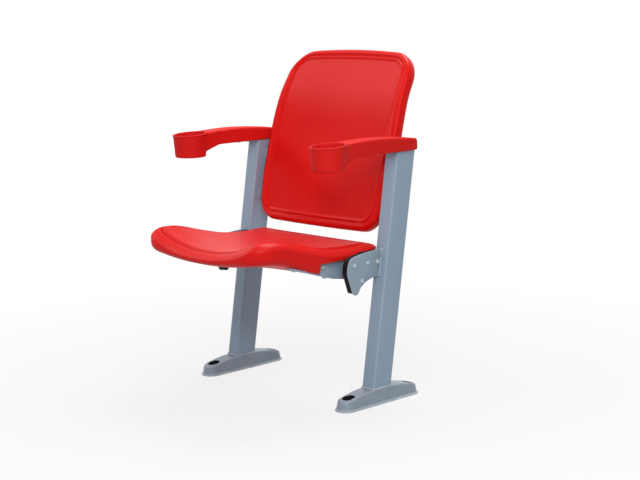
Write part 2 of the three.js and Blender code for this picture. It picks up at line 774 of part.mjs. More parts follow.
function housingGeometry() {
  const outline = hingeOutline(housingInset, housingRootGap);
  const block = sidePlate(outline, housingInnerX, housingOuterX, plateCurveSteps);
  const lug = boxBetween(
    [housingInnerX, pivotY - housingLugReach, pivotHeight + rivetCircleRadius],
    [housingOuterX, pivotY + housingLugReach, pivotHeight + housingLugRise],
  );
  const boreEndX = housingOuterX - shaftEndWall;
  const bore = rod(shaftDiameter + 2 * shaftGap, housingInnerX - cutOverrun, boreEndX, 'x')
    .translate(0, pivotY, pivotHeight);
  return combine(block, { add: [lug], cut: [bore, ...rivetHoles(housingInnerX, housingOuterX)] });
}

function rivetGeometry() {
  const shank = rivetShankDiameter * half;
  const head = rivetHeadDiameter * half;
  const tail = rivetTailDiameter * half;
  const headFace = hingePlateOuterX + fitGap;
  const tailFace = housingInnerX - fitGap;
  const dome = Array.from({ length: roundSteps + 1 }, (_, step) => {
    const angle = quarterTurn * (step / roundSteps);
    return [head * Math.cos(angle), headFace + rivetHeadHeight * Math.sin(angle)];
  });
  return turned([
    [0, tailFace - rivetTailHeight],
    [tail, tailFace - rivetTailHeight],
    [tail, tailFace],
    [shank, tailFace],
    [shank, headFace],
    ...dome,
  ], 'x', smallRoundSides);
}

// A pan-head screw: the head's bearing face at zero, the shank along +Z
function screwGeometry(shankLength) {
  const shank = screwShankDiameter * half;
  const head = screwHeadDiameter * half;
  return turned([
    [0, -screwHeadHeight],
    [head - screwHeadDome, -screwHeadHeight],
    [head, -screwHeadHeight + screwHeadDome],
    [head, 0],
    [shank, 0],
    [shank, shankLength],
    [0, shankLength],
  ], 'z', smallRoundSides);
}

// Back shell: rings in the plane of the back, bent along its curve and hollowed across
const backCurve = new THREE.CatmullRomCurve3(backLeanShares.map(([heightShare, leanShare]) => (
  new THREE.Vector3(
    0,
    backBottomY + (backTopY - backBottomY) * leanShare,
    backBottomHeight + (backTopHeight - backBottomHeight) * heightShare,
  ))));
const backLength = backCurve.getLength();
const backWidthLine = smoothLine(backWidthShares);
const backHollowLine = smoothLine(backHollowShares);

function backFrame(along) {
  const share = THREE.MathUtils.clamp(along / backLength, 0, 1);
  const up = backCurve.getTangentAt(share);
  const across = new THREE.Vector3(1, 0, 0);
  const rearward = new THREE.Vector3().crossVectors(up, across);
  return new THREE.Matrix4().makeBasis(across, rearward, up).setPosition(backCurve.getPointAt(share));
}

function backSkin(shrink, detail) {
  const ring = (inset, depthAt) => roundedOutline({
    width: backHalfWidth * 2,
    low: 0,
    high: backLength,
    lowRadius: backBottomCornerRadius,
    highRadius: backTopCornerRadius,
    steps: { end: shellEndSteps, corner: cornerSteps, side: shellSideSteps },
    inset: inset + shrink,
  }).map(([across, along]) => {
    const share = along / backLength;
    const sideShare = (across / backHalfWidth) ** 2;
    const arched = along - sideShare * (backTopArch * share ** 2 - backBottomArch * (1 - share) ** 2);
    const hollow = backHollow * backHollowLine(share) * (1 - sideShare);
    return new THREE.Vector3(across * backWidthLine(share), depthAt(hollow), 0)
      .applyMatrix4(backFrame(arched));
  });
  const reach = backHalfWidth - shrink;
  const round = edgeRound(backEdgeRound - shrink, detail.round);
  const front = panelRings(backGrooveInset - shrink, reach, detail.panel).reverse()
    .map(({ inset, sink }) => ring(inset, (hollow) => hollow + shrink + sink));
  const frontEdge = round.map(({ inset, sink }) => ring(inset, (hollow) => hollow + shrink + sink));
  const rearDepth = (hollow) => backThickness - shrink + hollow * backRearFollowShare;
  const rearEdge = [...round].reverse()
    .map(({ inset, sink }) => ring(inset, (hollow) => rearDepth(hollow) - sink));
  const spread = reach - backEdgeRound - 2 * leastRadius;
  const rear = detail.under.map((share) => ring(backEdgeRound - shrink + spread * share, rearDepth));
  return ringSkin([...front, ...frontEdge, ...rearEdge, ...rear]);
}

const bracketPlaces = [['lower', bracketLowerAlong], ['upper', bracketUpperAlong]];
const padRear = backThickness + bracketPadThickness;
const padScrewX = postInnerX - bracketScrewSetIn;
const bracketLegFront = padRear + fitGap;
const bracketLegRear = bracketLegFront + bracketThickness;
const bracketBoltDepth = bracketLegRear - bracketBoltSetIn;

function backShellGeometry() {
  const pads = bracketPlaces.flatMap(([, along]) => both(boxBetween(
    [padScrewX - bracketHeight * half, backThickness - shellWall * 2, -bracketHeight * half],
    [padScrewX + bracketHeight * half, padRear, bracketHeight * half],
  ).applyMatrix4(backFrame(along))));
  const holes = bracketPlaces.flatMap(([, along]) => both(
    rod(screwHoleDiameter, backThickness - shellWall * 2 - cutOverrun, padRear + cutOverrun, 'y',
      smallRoundSides).translate(padScrewX, 0, 0).applyMatrix4(backFrame(along)),
  ));
  const blowHole = rod(blowHoleDiameter, backThickness * half, padRear + backHollow, 'y', smallRoundSides)
    .applyMatrix4(backFrame(backBlowHoleAlong));
  const shell = combine(backSkin(0, skinDetail), { cut: [backSkin(shellWall, cavityDetail), blowHole] });
  return combine(shell, { add: pads, cut: holes });
}

// Back bracket: one leg behind the shell, the other flat on the post's inner face
function bracketGeometry() {
  const outerX = postInnerX - fitGap;
  const rearLeg = boxBetween(
    [padScrewX - bracketHeight * half, bracketLegFront, -bracketHeight * half],
    [outerX, bracketLegRear, bracketHeight * half],
  );
  const sideLeg = boxBetween(
    [outerX - bracketThickness, bracketLegRear - bracketLegLength, -bracketHeight * half],
    [outerX, bracketLegRear, bracketHeight * half],
  );
  const screwHole = rod(screwHoleDiameter, bracketLegFront - cutOverrun, bracketLegRear + cutOverrun, 'y',
    smallRoundSides).translate(padScrewX, 0, 0);
  const boltHole = rod(screwHoleDiameter, outerX - bracketThickness - cutOverrun, outerX + cutOverrun, 'x',
    smallRoundSides).translate(0, bracketBoltDepth, 0);
  return combine(rearLeg, { add: [sideLeg], cut: [screwHole, boltHole] });
}

// Armrest: sections along the bar, the cup joined on at the front, open underneath
const cupRadiusTop = cupTopDiameter * half;
const cupRadiusBottom = cupBottomDiameter * half;
const cupRimHeight = armrestUnderHeight + armrestTopRise * armrestTopShares[armrestTopShares.length - 1][1];
const cupBottomHeight = cupRimHeight - cupHeight;
const armrestTopLine = smoothLine(armrestTopShares);
const armrestWidthLine = smoothLine(armrestWidthShares);

const armrestPlateUnder = postTopHeight + fitGap;
const armrestPlateTop = armrestPlateUnder + armrestPlateThickness;
const armrestPlateFrontY = postFrontY(postTopHeight) - armrestPlateReach;
const armrestScrewPlaces = [
  armrestPlateFrontY + armrestBossDiameter,
  armrestPlateFrontY + armrestBossDiameter + armrestScrewSpacing,
];

function armrestUnder(y) {
  const fall = THREE.MathUtils.clamp((armrestElbowY - y) / (armrestElbowY - armrestNeckY), 0, 1);
  return armrestUnderHeight - armrestNeckDrop * fall;
}

const armrestShare = (y) => (armrestRearY - y) / armrestLength;
const armrestTop = (y) => armrestUnderHeight + armrestTopRise * armrestTopLine(armrestShare(y));
function armrestSection(y, inset, under, topDrop) {
  return roundedOutline({
    width: armrestWidth * armrestWidthLine(armrestShare(y)) - 2 * inset,
    low: under,
    high: armrestTop(y) - topDrop,
    lowRadius: armrestBottomRound - inset,
    highRadius: armrestTopRound - inset,
    steps: { end: 1, corner: armrestCornerSteps, side: 1 },
  }).map(([x, z]) => new THREE.Vector3(x, y, z));
}

function cupWallSurface(wall, lowHeight, highHeight) {
  const taper = (cupRadiusTop - cupRadiusBottom) / cupHeight;
  const radiusAt = (height) => cupRadiusBottom + taper * (height - cupBottomHeight) - wall;
  return turned([
    [0, lowHeight],
    [radiusAt(lowHeight) - cupFootRound, lowHeight],
    [radiusAt(lowHeight + cupFootRound), lowHeight + cupFootRound],
    [radiusAt(highHeight), highHeight],
    [0, highHeight],
  ], 'z', cupSides).translate(0, cupForwardY, 0);
}

function armrestGeometry() {
  const stations = armrestSectionShares.map((share) => armrestRearY - armrestLength * share);
  stations.push(armrestElbowY, armrestNeckY, armrestRearY - armrestEndRound);
  stations.sort((a, b) => b - a);
  const bar = ringSkin(stations.map((y, index) => {
    const inset = index === 0 ? armrestEndRound : 0;
    return armrestSection(y, inset, armrestUnder(y) + inset, inset);
  }));
  const hollowEnds = [armrestRearY - armrestWall, armrestElbowY + armrestWall];
  const hollowPlaces = [...hollowEnds, ...stations.filter((y) => y < hollowEnds[0] && y > hollowEnds[1])];
  const hollow = ringSkin(hollowPlaces.sort((a, b) => b - a)
    .map((y) => armrestSection(y, armrestWall, armrestUnderHeight - cutOverrun, armrestWall)));
  const highAbove = cupRimHeight + cupRadiusTop;
  const rimTilt = new THREE.Matrix4().makeRotationX(cupRimTilt);
  rimTilt.setPosition(0, cupForwardY, cupRimHeight);
  const aboveRim = boxBetween(
    [-cupTopDiameter, -cupTopDiameter, -cupLipHeight * half],
    [cupTopDiameter, cupTopDiameter, cupTopDiameter],
  ).applyMatrix4(rimTilt);
  const cup = combine(cupWallSurface(0, cupBottomHeight, highAbove), { cut: [aboveRim] });
  const lipRadius = cupRadiusTop + cupLipStep;
  const lip = turned([
    [0, -cupLipHeight],
    [cupRadiusTop - cupLipStep, -cupLipHeight],
    [lipRadius, -cupLipHeight * half],
    [lipRadius, -cupLipStep],
    [lipRadius - cupLipStep, 0],
    [0, 0],
  ], 'z', cupSides).applyMatrix4(rimTilt);
  const inside = cupWallSurface(cupWall, cupBottomHeight + cupFloor, highAbove);
  const drainTop = cupBottomHeight + cupFloor + cutOverrun;
  const drain = rod(cupDrainDiameter, cupBottomHeight - cutOverrun, drainTop, 'z', smallRoundSides)
    .translate(0, cupForwardY, 0);
  const bossTop = (y) => armrestTop(y) - armrestWall * half;
  const bosses = armrestScrewPlaces.map((y) => rod(armrestBossDiameter, armrestPlateTop + fitGap,
    bossTop(y), 'z', smallRoundSides).translate(0, y, 0));
  const pilotHoles = armrestScrewPlaces.map((y) => rod(screwHoleDiameter, armrestPlateTop,
    armrestPlateTop + screwShankLength, 'z', smallRoundSides).translate(0, y, 0));
  const shell = combine(bar, { add: [cup, lip], cut: [inside, drain, hollow] });
  return combine(shell, { add: bosses, cut: pilotHoles });
}

// Armrest plate: welded on the post's top, reaching forward under the armrest
function armrestPlateGeometry() {
  const plate = boxBetween(
    [-armrestPlateWidth * half, armrestPlateFrontY, armrestPlateUnder],
    [armrestPlateWidth * half, armrestRearY - armrestWall - fitGap, armrestPlateTop],
  );
  const holes = armrestScrewPlaces.map((y) => rod(screwHoleDiameter, armrestPlateUnder - cutOverrun,
    armrestPlateTop + cutOverrun, 'z', smallRoundSides).translate(armrestOutset, y, 0));
  return combine(plate, { cut: holes });
}

// The pieces of the right side, in the place where they stand; the left side is their mirror image
const rightPieces = [];
const middlePieces = [];
function addRight(name, geometry, paintwork) {
  rightPieces.push([name, geometry, paintwork]);
}

const bracketFrames = bracketPlaces.map(([level, along]) => [level, backFrame(along)]);
const boltPlaces = bracketFrames.map(([, frame]) => {
  const place = new THREE.Vector3(0, bracketBoltDepth, 0).applyMatrix4(frame);
  return [place.y, place.z];
});
addRight('post', postGeometry(boltPlaces).translate(postX, 0, 0), greyPaint);
addRight('foot', footGeometry().translate(postX, 0, 0), castPaint);
addRight('front_bolt_cap', capGeometry(footHoleFrontY).translate(postX, footHoleFrontY, 0), blackPlastic);
addRight('rear_bolt_cap', capGeometry(footHoleRearY).translate(postX, footHoleRearY, 0), blackPlastic);
addRight('armrest', armrestGeometry().translate(postX + armrestOutset, 0, 0), redPlastic);
addRight('armrest_plate', armrestPlateGeometry().translate(postX, 0, 0), greyPaint);
armrestScrewPlaces.forEach((y, index) => {
  const screw = screwGeometry(screwShankLength)
    .translate(postX + armrestOutset, y, armrestPlateUnder - fitGap);
  addRight(`armrest_screw_${index + 1}`, screw, zincSteel);
});
addRight('hinge_plate', hingePlateGeometry(), greyPaint);
addRight('hinge_housing', housingGeometry(), blackPlastic);
rivetPlaces.forEach(([y, z], index) => {
  addRight(`rivet_${index + 1}`, rivetGeometry().translate(0, y, z), zincSteel);
});
bracketFrames.forEach(([level, frame]) => {
  addRight(`${level}_back_bracket`, bracketGeometry().applyMatrix4(frame), greyPaint);
  const bolt = screwGeometry(screwShankLength).rotateY(quarterTurn)
    .translate(postInnerX - fitGap * 2 - bracketThickness, bracketBoltDepth, 0);
  addRight(`${level}_bracket_bolt`, bolt.applyMatrix4(frame), zincSteel);
  const screw = screwGeometry(screwShankLength).rotateX(quarterTurn)
    .translate(padScrewX, bracketLegRear + fitGap, 0);
  addRight(`${level}_bracket_screw`, screw.applyMatrix4(frame), zincSteel);
});
addRight('seat_arm', seatArmGeometry(), greyPaint);
addRight('pivot_hub', hubGeometry().translate(0, pivotY, pivotHeight), zincSteel);
const sideScrew = screwGeometry(screwShankLength).rotateY(-quarterTurn)
  .translate(seatArmOuterX + fitGap, seatArmSideScrewY, seatArmSideScrewHeight);
addRight('arm_side_screw', sideScrew, zincSteel);
flangeScrewPlaces.forEach((y, index) => {
  const screw = screwGeometry(screwShankLength).translate(0, 0, -fitGap).applyMatrix4(flangeFrame(y));
  addRight(`seat_screw_${index + 1}`, screw, zincSteel);
});
middlePieces.push(['back_shell', backShellGeometry(), redPlastic]);
middlePieces.push(['seat_shell', seatShellGeometry(), redPlastic]);

const seat = new THREE.Group();
seat.name = 'stadium_seat';
function place(name, geometry, paintwork) {
  const mesh = new THREE.Mesh(geometry, paintwork.clone());
  mesh.name = name;
  seat.add(mesh);
}
middlePieces.forEach(([name, geometry, paintwork]) => place(name, geometry, paintwork));
rightPieces.forEach(([name, geometry, paintwork]) => {
  place(`right_${name}`, geometry, paintwork);
  place(`left_${name}`, mirrored(geometry), paintwork);
});

// The origin sits on the floor at the centre of the box round all pieces
const box = new THREE.Box3().setFromObject(seat);
const shift = new THREE.Vector3(0, -(box.min.y + box.max.y) * half, -box.min.z);
seat.children.forEach((mesh) => mesh.geometry.translate(shift.x, shift.y, shift.z));

export default seat;
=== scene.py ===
"""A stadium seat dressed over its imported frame: red moulded shells and armrests, painted steel posts on cast
feet, riveted hinges, bolts and weld beads, lit like a plain studio."""

import json
import math

import bmesh
import bpy
from mathutils import Matrix, Vector


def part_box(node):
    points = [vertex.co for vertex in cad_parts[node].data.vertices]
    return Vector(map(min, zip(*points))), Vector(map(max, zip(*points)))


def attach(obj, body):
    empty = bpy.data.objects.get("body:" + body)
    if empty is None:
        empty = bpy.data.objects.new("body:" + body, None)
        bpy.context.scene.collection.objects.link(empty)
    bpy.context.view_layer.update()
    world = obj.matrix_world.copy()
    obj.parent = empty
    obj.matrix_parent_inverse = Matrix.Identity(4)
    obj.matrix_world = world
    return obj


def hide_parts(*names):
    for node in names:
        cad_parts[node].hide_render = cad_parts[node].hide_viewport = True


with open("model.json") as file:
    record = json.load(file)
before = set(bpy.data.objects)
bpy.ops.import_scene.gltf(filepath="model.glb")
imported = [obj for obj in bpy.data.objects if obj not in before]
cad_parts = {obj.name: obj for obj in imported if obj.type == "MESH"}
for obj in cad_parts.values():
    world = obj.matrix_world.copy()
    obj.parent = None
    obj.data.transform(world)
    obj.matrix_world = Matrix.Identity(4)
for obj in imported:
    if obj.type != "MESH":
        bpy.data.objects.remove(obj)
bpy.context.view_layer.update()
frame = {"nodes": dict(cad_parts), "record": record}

MM = 0.001
SEAT_BODY = "seat"
FRAME_BODY = "frame"
QUARTER = math.pi / 2

# Sizes are in millimetres. Parts keep FIT_GAP apart, a turned profile ends AXIS from its axis, and a cut or a
# bore runs past the surface that it leaves by
FIT_GAP = 0.3
AXIS = 0.01
CUT_PAST = 2
BORE_PAST = 3

# A fan fills a shell's middle with rings at these shares, a gap in from the shape's own rings
FAN_SHARES = [step / 24 for step in range(1, 24)]
TOP_FAN_GAP = 4
UNDER_FAN_GAP = 2

# Corners that are drawn in keep this radius, edges that bend by more than these degrees stay sharp, and
# points that are nearer than MERGE, in metres, become one
LEAST_CORNER = 2
SHARP_ANGLE = 35.0
MOULDED_SHARP_ANGLE = 60
MERGE = 1e-6

# (voxel, smoothing passes, share of faces kept) that melt a joined solid into one moulding or casting
ARMREST_MELT = (1.3, 4, 0.5)
FOOT_MELT = (0.9, 1, 0.5)

# Posts and feet, with the posts' front face reaching the floor at y = 0
POST_SPACING = 504
POST_WIDTH = 40
POST_DEPTH = 60
POST_RADIUS = 4
POST_WALL = 2.5
POST_LEAN = math.radians(9.7)
POST_TOP = 599
POST_CORNER_STEPS = 6
POST_STEPS = 12
FOOT_WIDTH = 54
FOOT_FRONT = -92.5
FOOT_REAR = 169.5
FOOT_TOP = 38
FOOT_END = 21
FOOT_FLANGE = 3.4
FOOT_COVE_INSET = 4
FOOT_COVE_TOP = 8
FOOT_DRAFT = 2.5
FOOT_TOP_ROUND = 4
FOOT_TOP_ROUND_STEPS = 6
FOOT_FRONT_SLOPE_GAP = 4
FOOT_REAR_SLOPE_GAP = 10
FOOT_SLOPE_POWER = 1.6
FOOT_HOLES = {"front": -57.5, "rear": 142.5}
FOOT_POCKET_RADIUS = 15.5
FOOT_POCKET_FLOOR = 8
FOOT_POCKET_TOP = 60
FOOT_BORE_RADIUS = 6.5
FOOT_SIDE_STEPS = 44
FOOT_END_STEPS = 20

# (inset, height) up the foot's side, the insets of its top, and (height over the top, growth) up the collar
FOOT_SIDE_LINE = [(0.5, 0), (0, 0.5), (0, FOOT_FLANGE - 0.8), (0.8, FOOT_FLANGE),
                  (FOOT_COVE_INSET - 0.9, FOOT_FLANGE + 0.3), (FOOT_COVE_INSET - 0.1, FOOT_FLANGE + 1.4),
                  (FOOT_COVE_INSET, FOOT_COVE_TOP)]
FOOT_TOP_INSETS = (16, 19.5, 23, FOOT_WIDTH / 2)
FOOT_COLLAR = [(-6, 2.6), (0, 2.2), (1.6, 0.8)]
FOOT_WELD_RISE = 1.4
FOOT_WELD_GROWTH = 0.9
FOOT_WELD_RADIUS = 1.7

# Bolt caps: (outset from the radius, height over the edge), from the underside to the step round the dome
CAP_SINK = 0.8
CAP_LINE = [(-2, -3), (-2, -6), (0, -6), (0, -1.4), (-0.5, -0.7), (-1.6, -0.5), (-2.2, -0.9),
            (-2.8, -0.5)]
CAP_STEP = 0.5
CAP_CROWN = 1
CAP_DOME_STEPS = 6
CAP_SIDES = 48

# Seat shell
SEAT_HALF_WIDTH = 216
SEAT_REAR = 97.5
SEAT_DEPTH = 395
SEAT_TOP_HEIGHT = 377
SEAT_UNDER_HEIGHT = 356
SEAT_RISE = 44
SEAT_FRONT_RADIUS = 58
SEAT_REAR_RADIUS = 28
SEAT_FRONT = SEAT_REAR - SEAT_DEPTH
SADDLE_POWER = 2.2
SEAT_ROLL = (22, 18)
SEAT_ROLL_BEND = 0.72
SEAT_UNDER_ROLL = (16, 15)
SEAT_BAND_SINK = 3.4
SEAT_PAD_INSET = 30
SEAT_REAR_FADE = 0.75
SEAT_FADE_START = 0.78
SEAT_FADE_LENGTH = 0.17
SEAT_EDGE_WALL = 1
SEAT_OUTLINE_STEPS = (14, 10, 36)
SEAT_ROLL_STEPS = 14
SEAT_UNDER_ROLL_STEPS = 10

# (inset from the edge, sink) through the seat's crease and onto its pad
SEAT_PAD_LINE = [(22, 3.4), (23.2, 3.9), (24.4, 5.4), (25.6, 7.2), (26.8, 8), (28, 7.6), (29.2, 5.7),
                 (30.6, 3), (32, 1), (33.6, -0.3), (36, -1), (38.5, -1)]

# (share of the depth from the front, share of the rise) along the seat's sides and its middle
SIDE_RISE = [(0, 0.94), (0.07, 1.02), (0.14, 1.035), (0.2, 1), (0.28, 0.84), (0.35, 0.65), (0.45, 0.41),
             (0.56, 0.17), (0.66, 0.06), (0.76, 0.01), (1, 0)]
CENTRE_RISE = [(0, 0.09), (0.06, 0.135), (0.2, 0.07), (0.38, -0.075), (0.6, -0.185), (0.8, -0.13),
               (0.93, -0.025), (1, 0)]
SIDE_UNDER = [(0, 0.45), (0.14, 0.31), (0.25, 0.09), (0.35, -0.24), (0.45, -0.6), (0.56, -0.79),
              (0.66, -0.66), (0.76, -0.32), (0.88, -0.06), (1, 0)]
CENTRE_UNDER = [(0, -0.04), (0.14, -0.13), (0.25, -0.3), (0.45, -0.62), (0.56, -0.7), (0.66, -0.63),
                (0.76, -0.34), (0.88, -0.06), (1, 0)]

# Seat arms, whose plates sit in notches in the shell
ARM_INNER_X = 204
ARM_OUTER_X = 208
ARM_FLANGE_INNER_X = 184
ARM_FLANGE_REAR = -58
ARM_FLANGE_FRONT = -186
ARM_FLANGE_REAR_HEIGHT = 310
ARM_FLANGE_THICKNESS = 4.2
ARM_FLANGE_SLOPE = math.tan(math.radians(17.1))
NOTCH_FRONT = -103
NOTCH_FLOOR = 352
NOTCH_LEAD = 1
NOTCH_CORNER = 15
NOTCH_ROUND = 3
NOTCH_STEPS = 8

# Hinges
PIVOT_Y = -3
PIVOT_HEIGHT = 328
HINGE_PLATE_OUTER_X = 250
HINGE_PLATE_THICKNESS = 4
HOUSING_OUTER_X = 245.7
HOUSING_INNER_X = 228
HINGE_ARC_RADIUS = 45
HINGE_TOP_FRONT = math.radians(142)
HINGE_ARC_END = math.radians(206)
HINGE_TIP_END = math.radians(330)
HINGE_TIP_DROP = 47
HINGE_TIP_FORWARD = 20
HINGE_TIP_RADIUS = 11
HINGE_ROOT_RISE = 41.5
HINGE_ROOT_DROP = 21.5
HINGE_TOP_SAG = 1.5
HINGE_UNDER_SAG = 4
HOUSING_LUG_FRONT = 11
HOUSING_LUG_REAR = 26
HOUSING_LUG_RISE = 39.5
HOUSING_LUG_ROOT = 26
HOUSING_INSET = 2.5
HOUSING_POST_GAP = 3
HOUSING_BORE_RADIUS = 9.4
HOUSING_BORE_FLOOR = 4
HINGE_PLATE_EDGE = 0.8
HOUSING_EDGE = 1.3

# Hinge welds: (outset from the plate's outer face, radius) of each bead
HINGE_WELDS = [(2.4, 3.2), (-4.6, 1.9)]
HINGE_WELD_BELOW = 1
HINGE_WELD_ABOVE = 4
HINGE_WELD_STAND = 0.4
HINGE_WELD_RIPPLE = 3.4

# Back shell
BACK_HALF_WIDTH = 227
BACK_BOTTOM = (74, 400.5)
BACK_TOP = (238, 835.5)
BACK_THICKNESS = 34
BACK_TOP_ARCH = 12
BACK_BOTTOM_ARCH = 3
BACK_HOLLOW = 14
BACK_TOP_RADIUS = 70
BACK_BOTTOM_RADIUS = 56
BACK_EDGE_ROUND = 13
BACK_EDGE_STEPS = 8
BACK_OUTLINE_STEPS = (14, 14, 36)

# (inset from the edge, sink) through the groove and over the ridge to the back's panel
BACK_RIM_LINE = [(14.5, 0.3), (16, 1.3), (17.5, 2.6), (19, 3.5), (20.4, 3.6), (21.6, 2.6), (22.8, 1),
                 (24, -0.1), (25.2, -0.4), (26.4, 0), (27.8, 1), (29.4, 1.8), (31.4, 2.15), (34, 2.2)]
BACK_PANEL_SINK = 2.2
BACK_REAR_FOLLOW = 0.5
BACK_SAMPLES = 400
BACK_TANGENT_REACH = 6

# (share of the height, share of the lean), then (share of the length, share of the width and of the hollow)
BACK_LEAN = [(0, 0), (0.225, 0.145), (0.488, 0.355), (0.644, 0.482), (0.748, 0.59), (0.836, 0.72),
             (0.924, 0.87), (1, 1)]
BACK_WIDTH = [(0, 0.94), (0.11, 0.958), (0.21, 0.975), (0.33, 0.993), (0.44, 1), (0.53, 0.998), (0.63, 0.989),
              (0.73, 0.975), (0.82, 0.96), (1, 0.935)]
BACK_HOLLOW_LINE = [(0, 0.08), (0.3, 1), (0.7, 1), (1, 0.08)]

# Armrests
ARMREST_WIDTH = 52
ARMREST_UNDER = 600
ARMREST_RISE = 38
ARMREST_REAR = 167.2
ARMREST_ELBOW = -29.5
ARMREST_NECK = -75.5
ARMREST_NECK_HEIGHT = 587
ARMREST_OUTSET = 2
CUP_Y = -105.5
CUP_TOP_RADIUS = 43
CUP_BOTTOM_RADIUS = 39
CUP_HEIGHT = 59
CUP_TILT = math.radians(4)
CUP_WALL = 4
CUP_FOOT_ROUND = 4
CUP_FOOT_STEPS = 5
CUP_LIP_OVERLAP = 2
CUP_ROOM_PAST = 20
CUP_DRAIN_RADIUS = 4
CUP_SIDES = 96
ARMREST_WALL = 3.5
ARMREST_UNDER_RADIUS = 2
ARMREST_TOP_RADIUS = 5
ARMREST_END_EASE = 3
ARMREST_OUTLINE_STEPS = (4, 5, 5)
ARMREST_STEPS = 60
ARMREST_HOLLOW_STEPS = 20

# (outset from the cup's top radius, height from its rim) round the lip
CUP_LIP = [(-1.6, -5), (1.6, -2.6), (1.6, -1.4), (0.4, 0)]

# (share of the length from the rear, share of the rise or the width) along the arm
ARMREST_TOP_LINE = [(0, 0.72), (0.16, 0.84), (0.32, 0.93), (0.52, 0.985), (0.73, 0.95), (0.9, 0.885),
                    (1, 0.85)]
ARMREST_WIDTH_LINE = [(0, 0.94), (0.2, 0.98), (0.5, 1), (0.8, 1.02), (0.87, 1.12), (0.91, 1.27), (0.95, 1.4),
                      (1, 1.47)]

POST_X = POST_SPACING / 2
LEAN_SLOPE = math.tan(POST_LEAN)

# What the frame adds to a y that is counted from the posts' front face at the floor
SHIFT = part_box("right_foot")[0].y / MM - FOOT_FRONT


# Measuring helpers
def clamped(share):
    return min(max(share, 0), 1)


def full_turn(count):
    """Angles all round, evenly spaced."""
    return [2 * math.pi * i / count for i in range(count)]


def smooth_line(pairs):
    """A smooth value through given (place, value) pairs."""
    last = len(pairs) - 1

    def slope(index):
        before, after = pairs[max(index - 1, 0)], pairs[min(index + 1, last)]
        return (after[1] - before[1]) / (after[0] - before[0])

    def value(place):
        low = 0
        while low + 2 <= last and place > pairs[low + 1][0]:
            low += 1
        (x0, y0), (x1, y1) = pairs[low], pairs[low + 1]
        span = x1 - x0
        t = clamped((place - x0) / span)
        bend = t * (1 - t) * span * (slope(low) * (1 - t) - slope(low + 1) * t)
        return y0 + (y1 - y0) * t * t * (3 - 2 * t) + bend

    return value


def rounded_outline(width, low, high, low_radius, high_radius, steps, inset=0.0):
    """(across, along) places round a rounded rectangle, starting on its mirror line."""
    end_steps, corner_steps, side_steps = steps
    reach, start, end = width / 2 - inset, low + inset, high - inset
    r0, r1 = max(low_radius - inset, LEAST_CORNER), max(high_radius - inset, LEAST_CORNER)
    half = []

    def line(x0, y0, x1, y1, count):
        half.extend((x0 + (x1 - x0) * i / count, y0 + (y1 - y0) * i / count) for i in range(count))

    def arc(cx, cy, radius, first):
        for i in range(corner_steps):
            angle = first + QUARTER * i / corner_steps
            half.append((cx + radius * math.cos(angle), cy + radius * math.sin(angle)))

    line(0, start, reach - r0, start, end_steps)
    arc(reach - r0, start + r0, r0, -QUARTER)
    line(reach, start + r0, reach, end - r1, side_steps)
    arc(reach - r1, end - r1, r1, 0)
    line(reach - r1, end, 0, end, end_steps)
    return half + [(0, end)] + [(-x, y) for x, y in reversed(half[1:])]


def edge_roll(reach, drop, steps, bend=1.0):
    """(inset, sink) pairs over an edge, from its crest to its side."""
    angles = [QUARTER * (1 - i / steps) for i in range(steps + 1)]
    return [(reach * (1 - math.cos(a)), drop * (1 - math.sin(a)) ** bend) for a in angles]


def edge_round(radius, steps):
    """(inset, sink) pairs over a round edge."""
    return edge_roll(radius, radius, steps)


def shrunk(places, middle, share):
    """Places drawn in towards the spot at middle on the mirror line."""
    return [(x * share, middle + (y - middle) * share) for x, y in places]


def capped(pairs):
    """A turned profile, closed at both ends near its axis."""
    return [(AXIS, pairs[0][1]), *pairs, (AXIS, pairs[-1][1])]


# Mesh helpers: every mesh is drawn in millimetres and lands in the frame's metres
def mesh_from(name, points, faces):
    """A mesh from points in millimetres, with double points merged and its faces turned outwards."""
    mesh = bpy.data.meshes.new(name)
    mesh.from_pydata([(x * MM, (y + SHIFT) * MM, z * MM) for x, y, z in points], [], faces)
    tidy = bmesh.new()
    tidy.from_mesh(mesh)
    bmesh.ops.remove_doubles(tidy, verts=tidy.verts, dist=MERGE)
    bmesh.ops.recalc_face_normals(tidy, faces=tidy.faces)
    tidy.to_mesh(mesh)
    tidy.free()
    return mesh


def ring_faces(count, rings, first_centre=None, last_centre=None):
    """Faces between rings of count points, and a fan round each centre that is given."""
    faces = []
    for ring in range(rings - 1):
        for step in range(count):
            a, b = ring * count + step, ring * count + (step + 1) % count
            faces.append((a, b, b + count, a + count))
    if first_centre is not None:
        faces += [(first_centre, (i + 1) % count, i) for i in range(count)]
    if last_centre is not None:
        base = (rings - 1) * count
        faces += [(last_centre, base + i, base + (i + 1) % count) for i in range(count)]
    return faces


def ring_skin(name, rings):
    """A closed skin through rings that have as many points each, with a fan at both ends."""
    count = len(rings[0])
    points = [point for ring in rings for point in ring]
    for ring in (rings[0], rings[-1]):
        points.append(tuple(sum(p[axis] for p in ring) / count for axis in range(3)))
    total = count * len(rings)
    return mesh_from(name, points, ring_faces(count, len(rings), total, total + 1))


def loop_skin(name, rings):
    """A closed skin through rings whose last one meets the first again."""
    count = len(rings[0])
    points = [point for ring in rings for point in ring]
    base = len(points) - count
    faces = ring_faces(count, len(rings))
    faces += [(base + i, base + (i + 1) % count, (i + 1) % count, i) for i in range(count)]
    return mesh_from(name, points, faces)


def turned(name, pairs, place, axis, sides):
    """A turned solid from (radius, height) pairs, set at place with its height along axis."""
    turn = Vector((0, 0, 1)).rotation_difference(Vector(axis)).to_matrix()
    spot = Vector(place)
    rings = []
    for radius, height in pairs:
        rings.append([tuple(turn @ Vector((radius * math.cos(a), radius * math.sin(a), height)) + spot)
                      for a in full_turn(sides)])
    return ring_skin(name, rings)


def cylinder(name, radius, low, high, place, axis=(0, 0, 1), sides=48):
    return turned(name, capped([(radius, low), (radius, high)]), place, axis, sides)


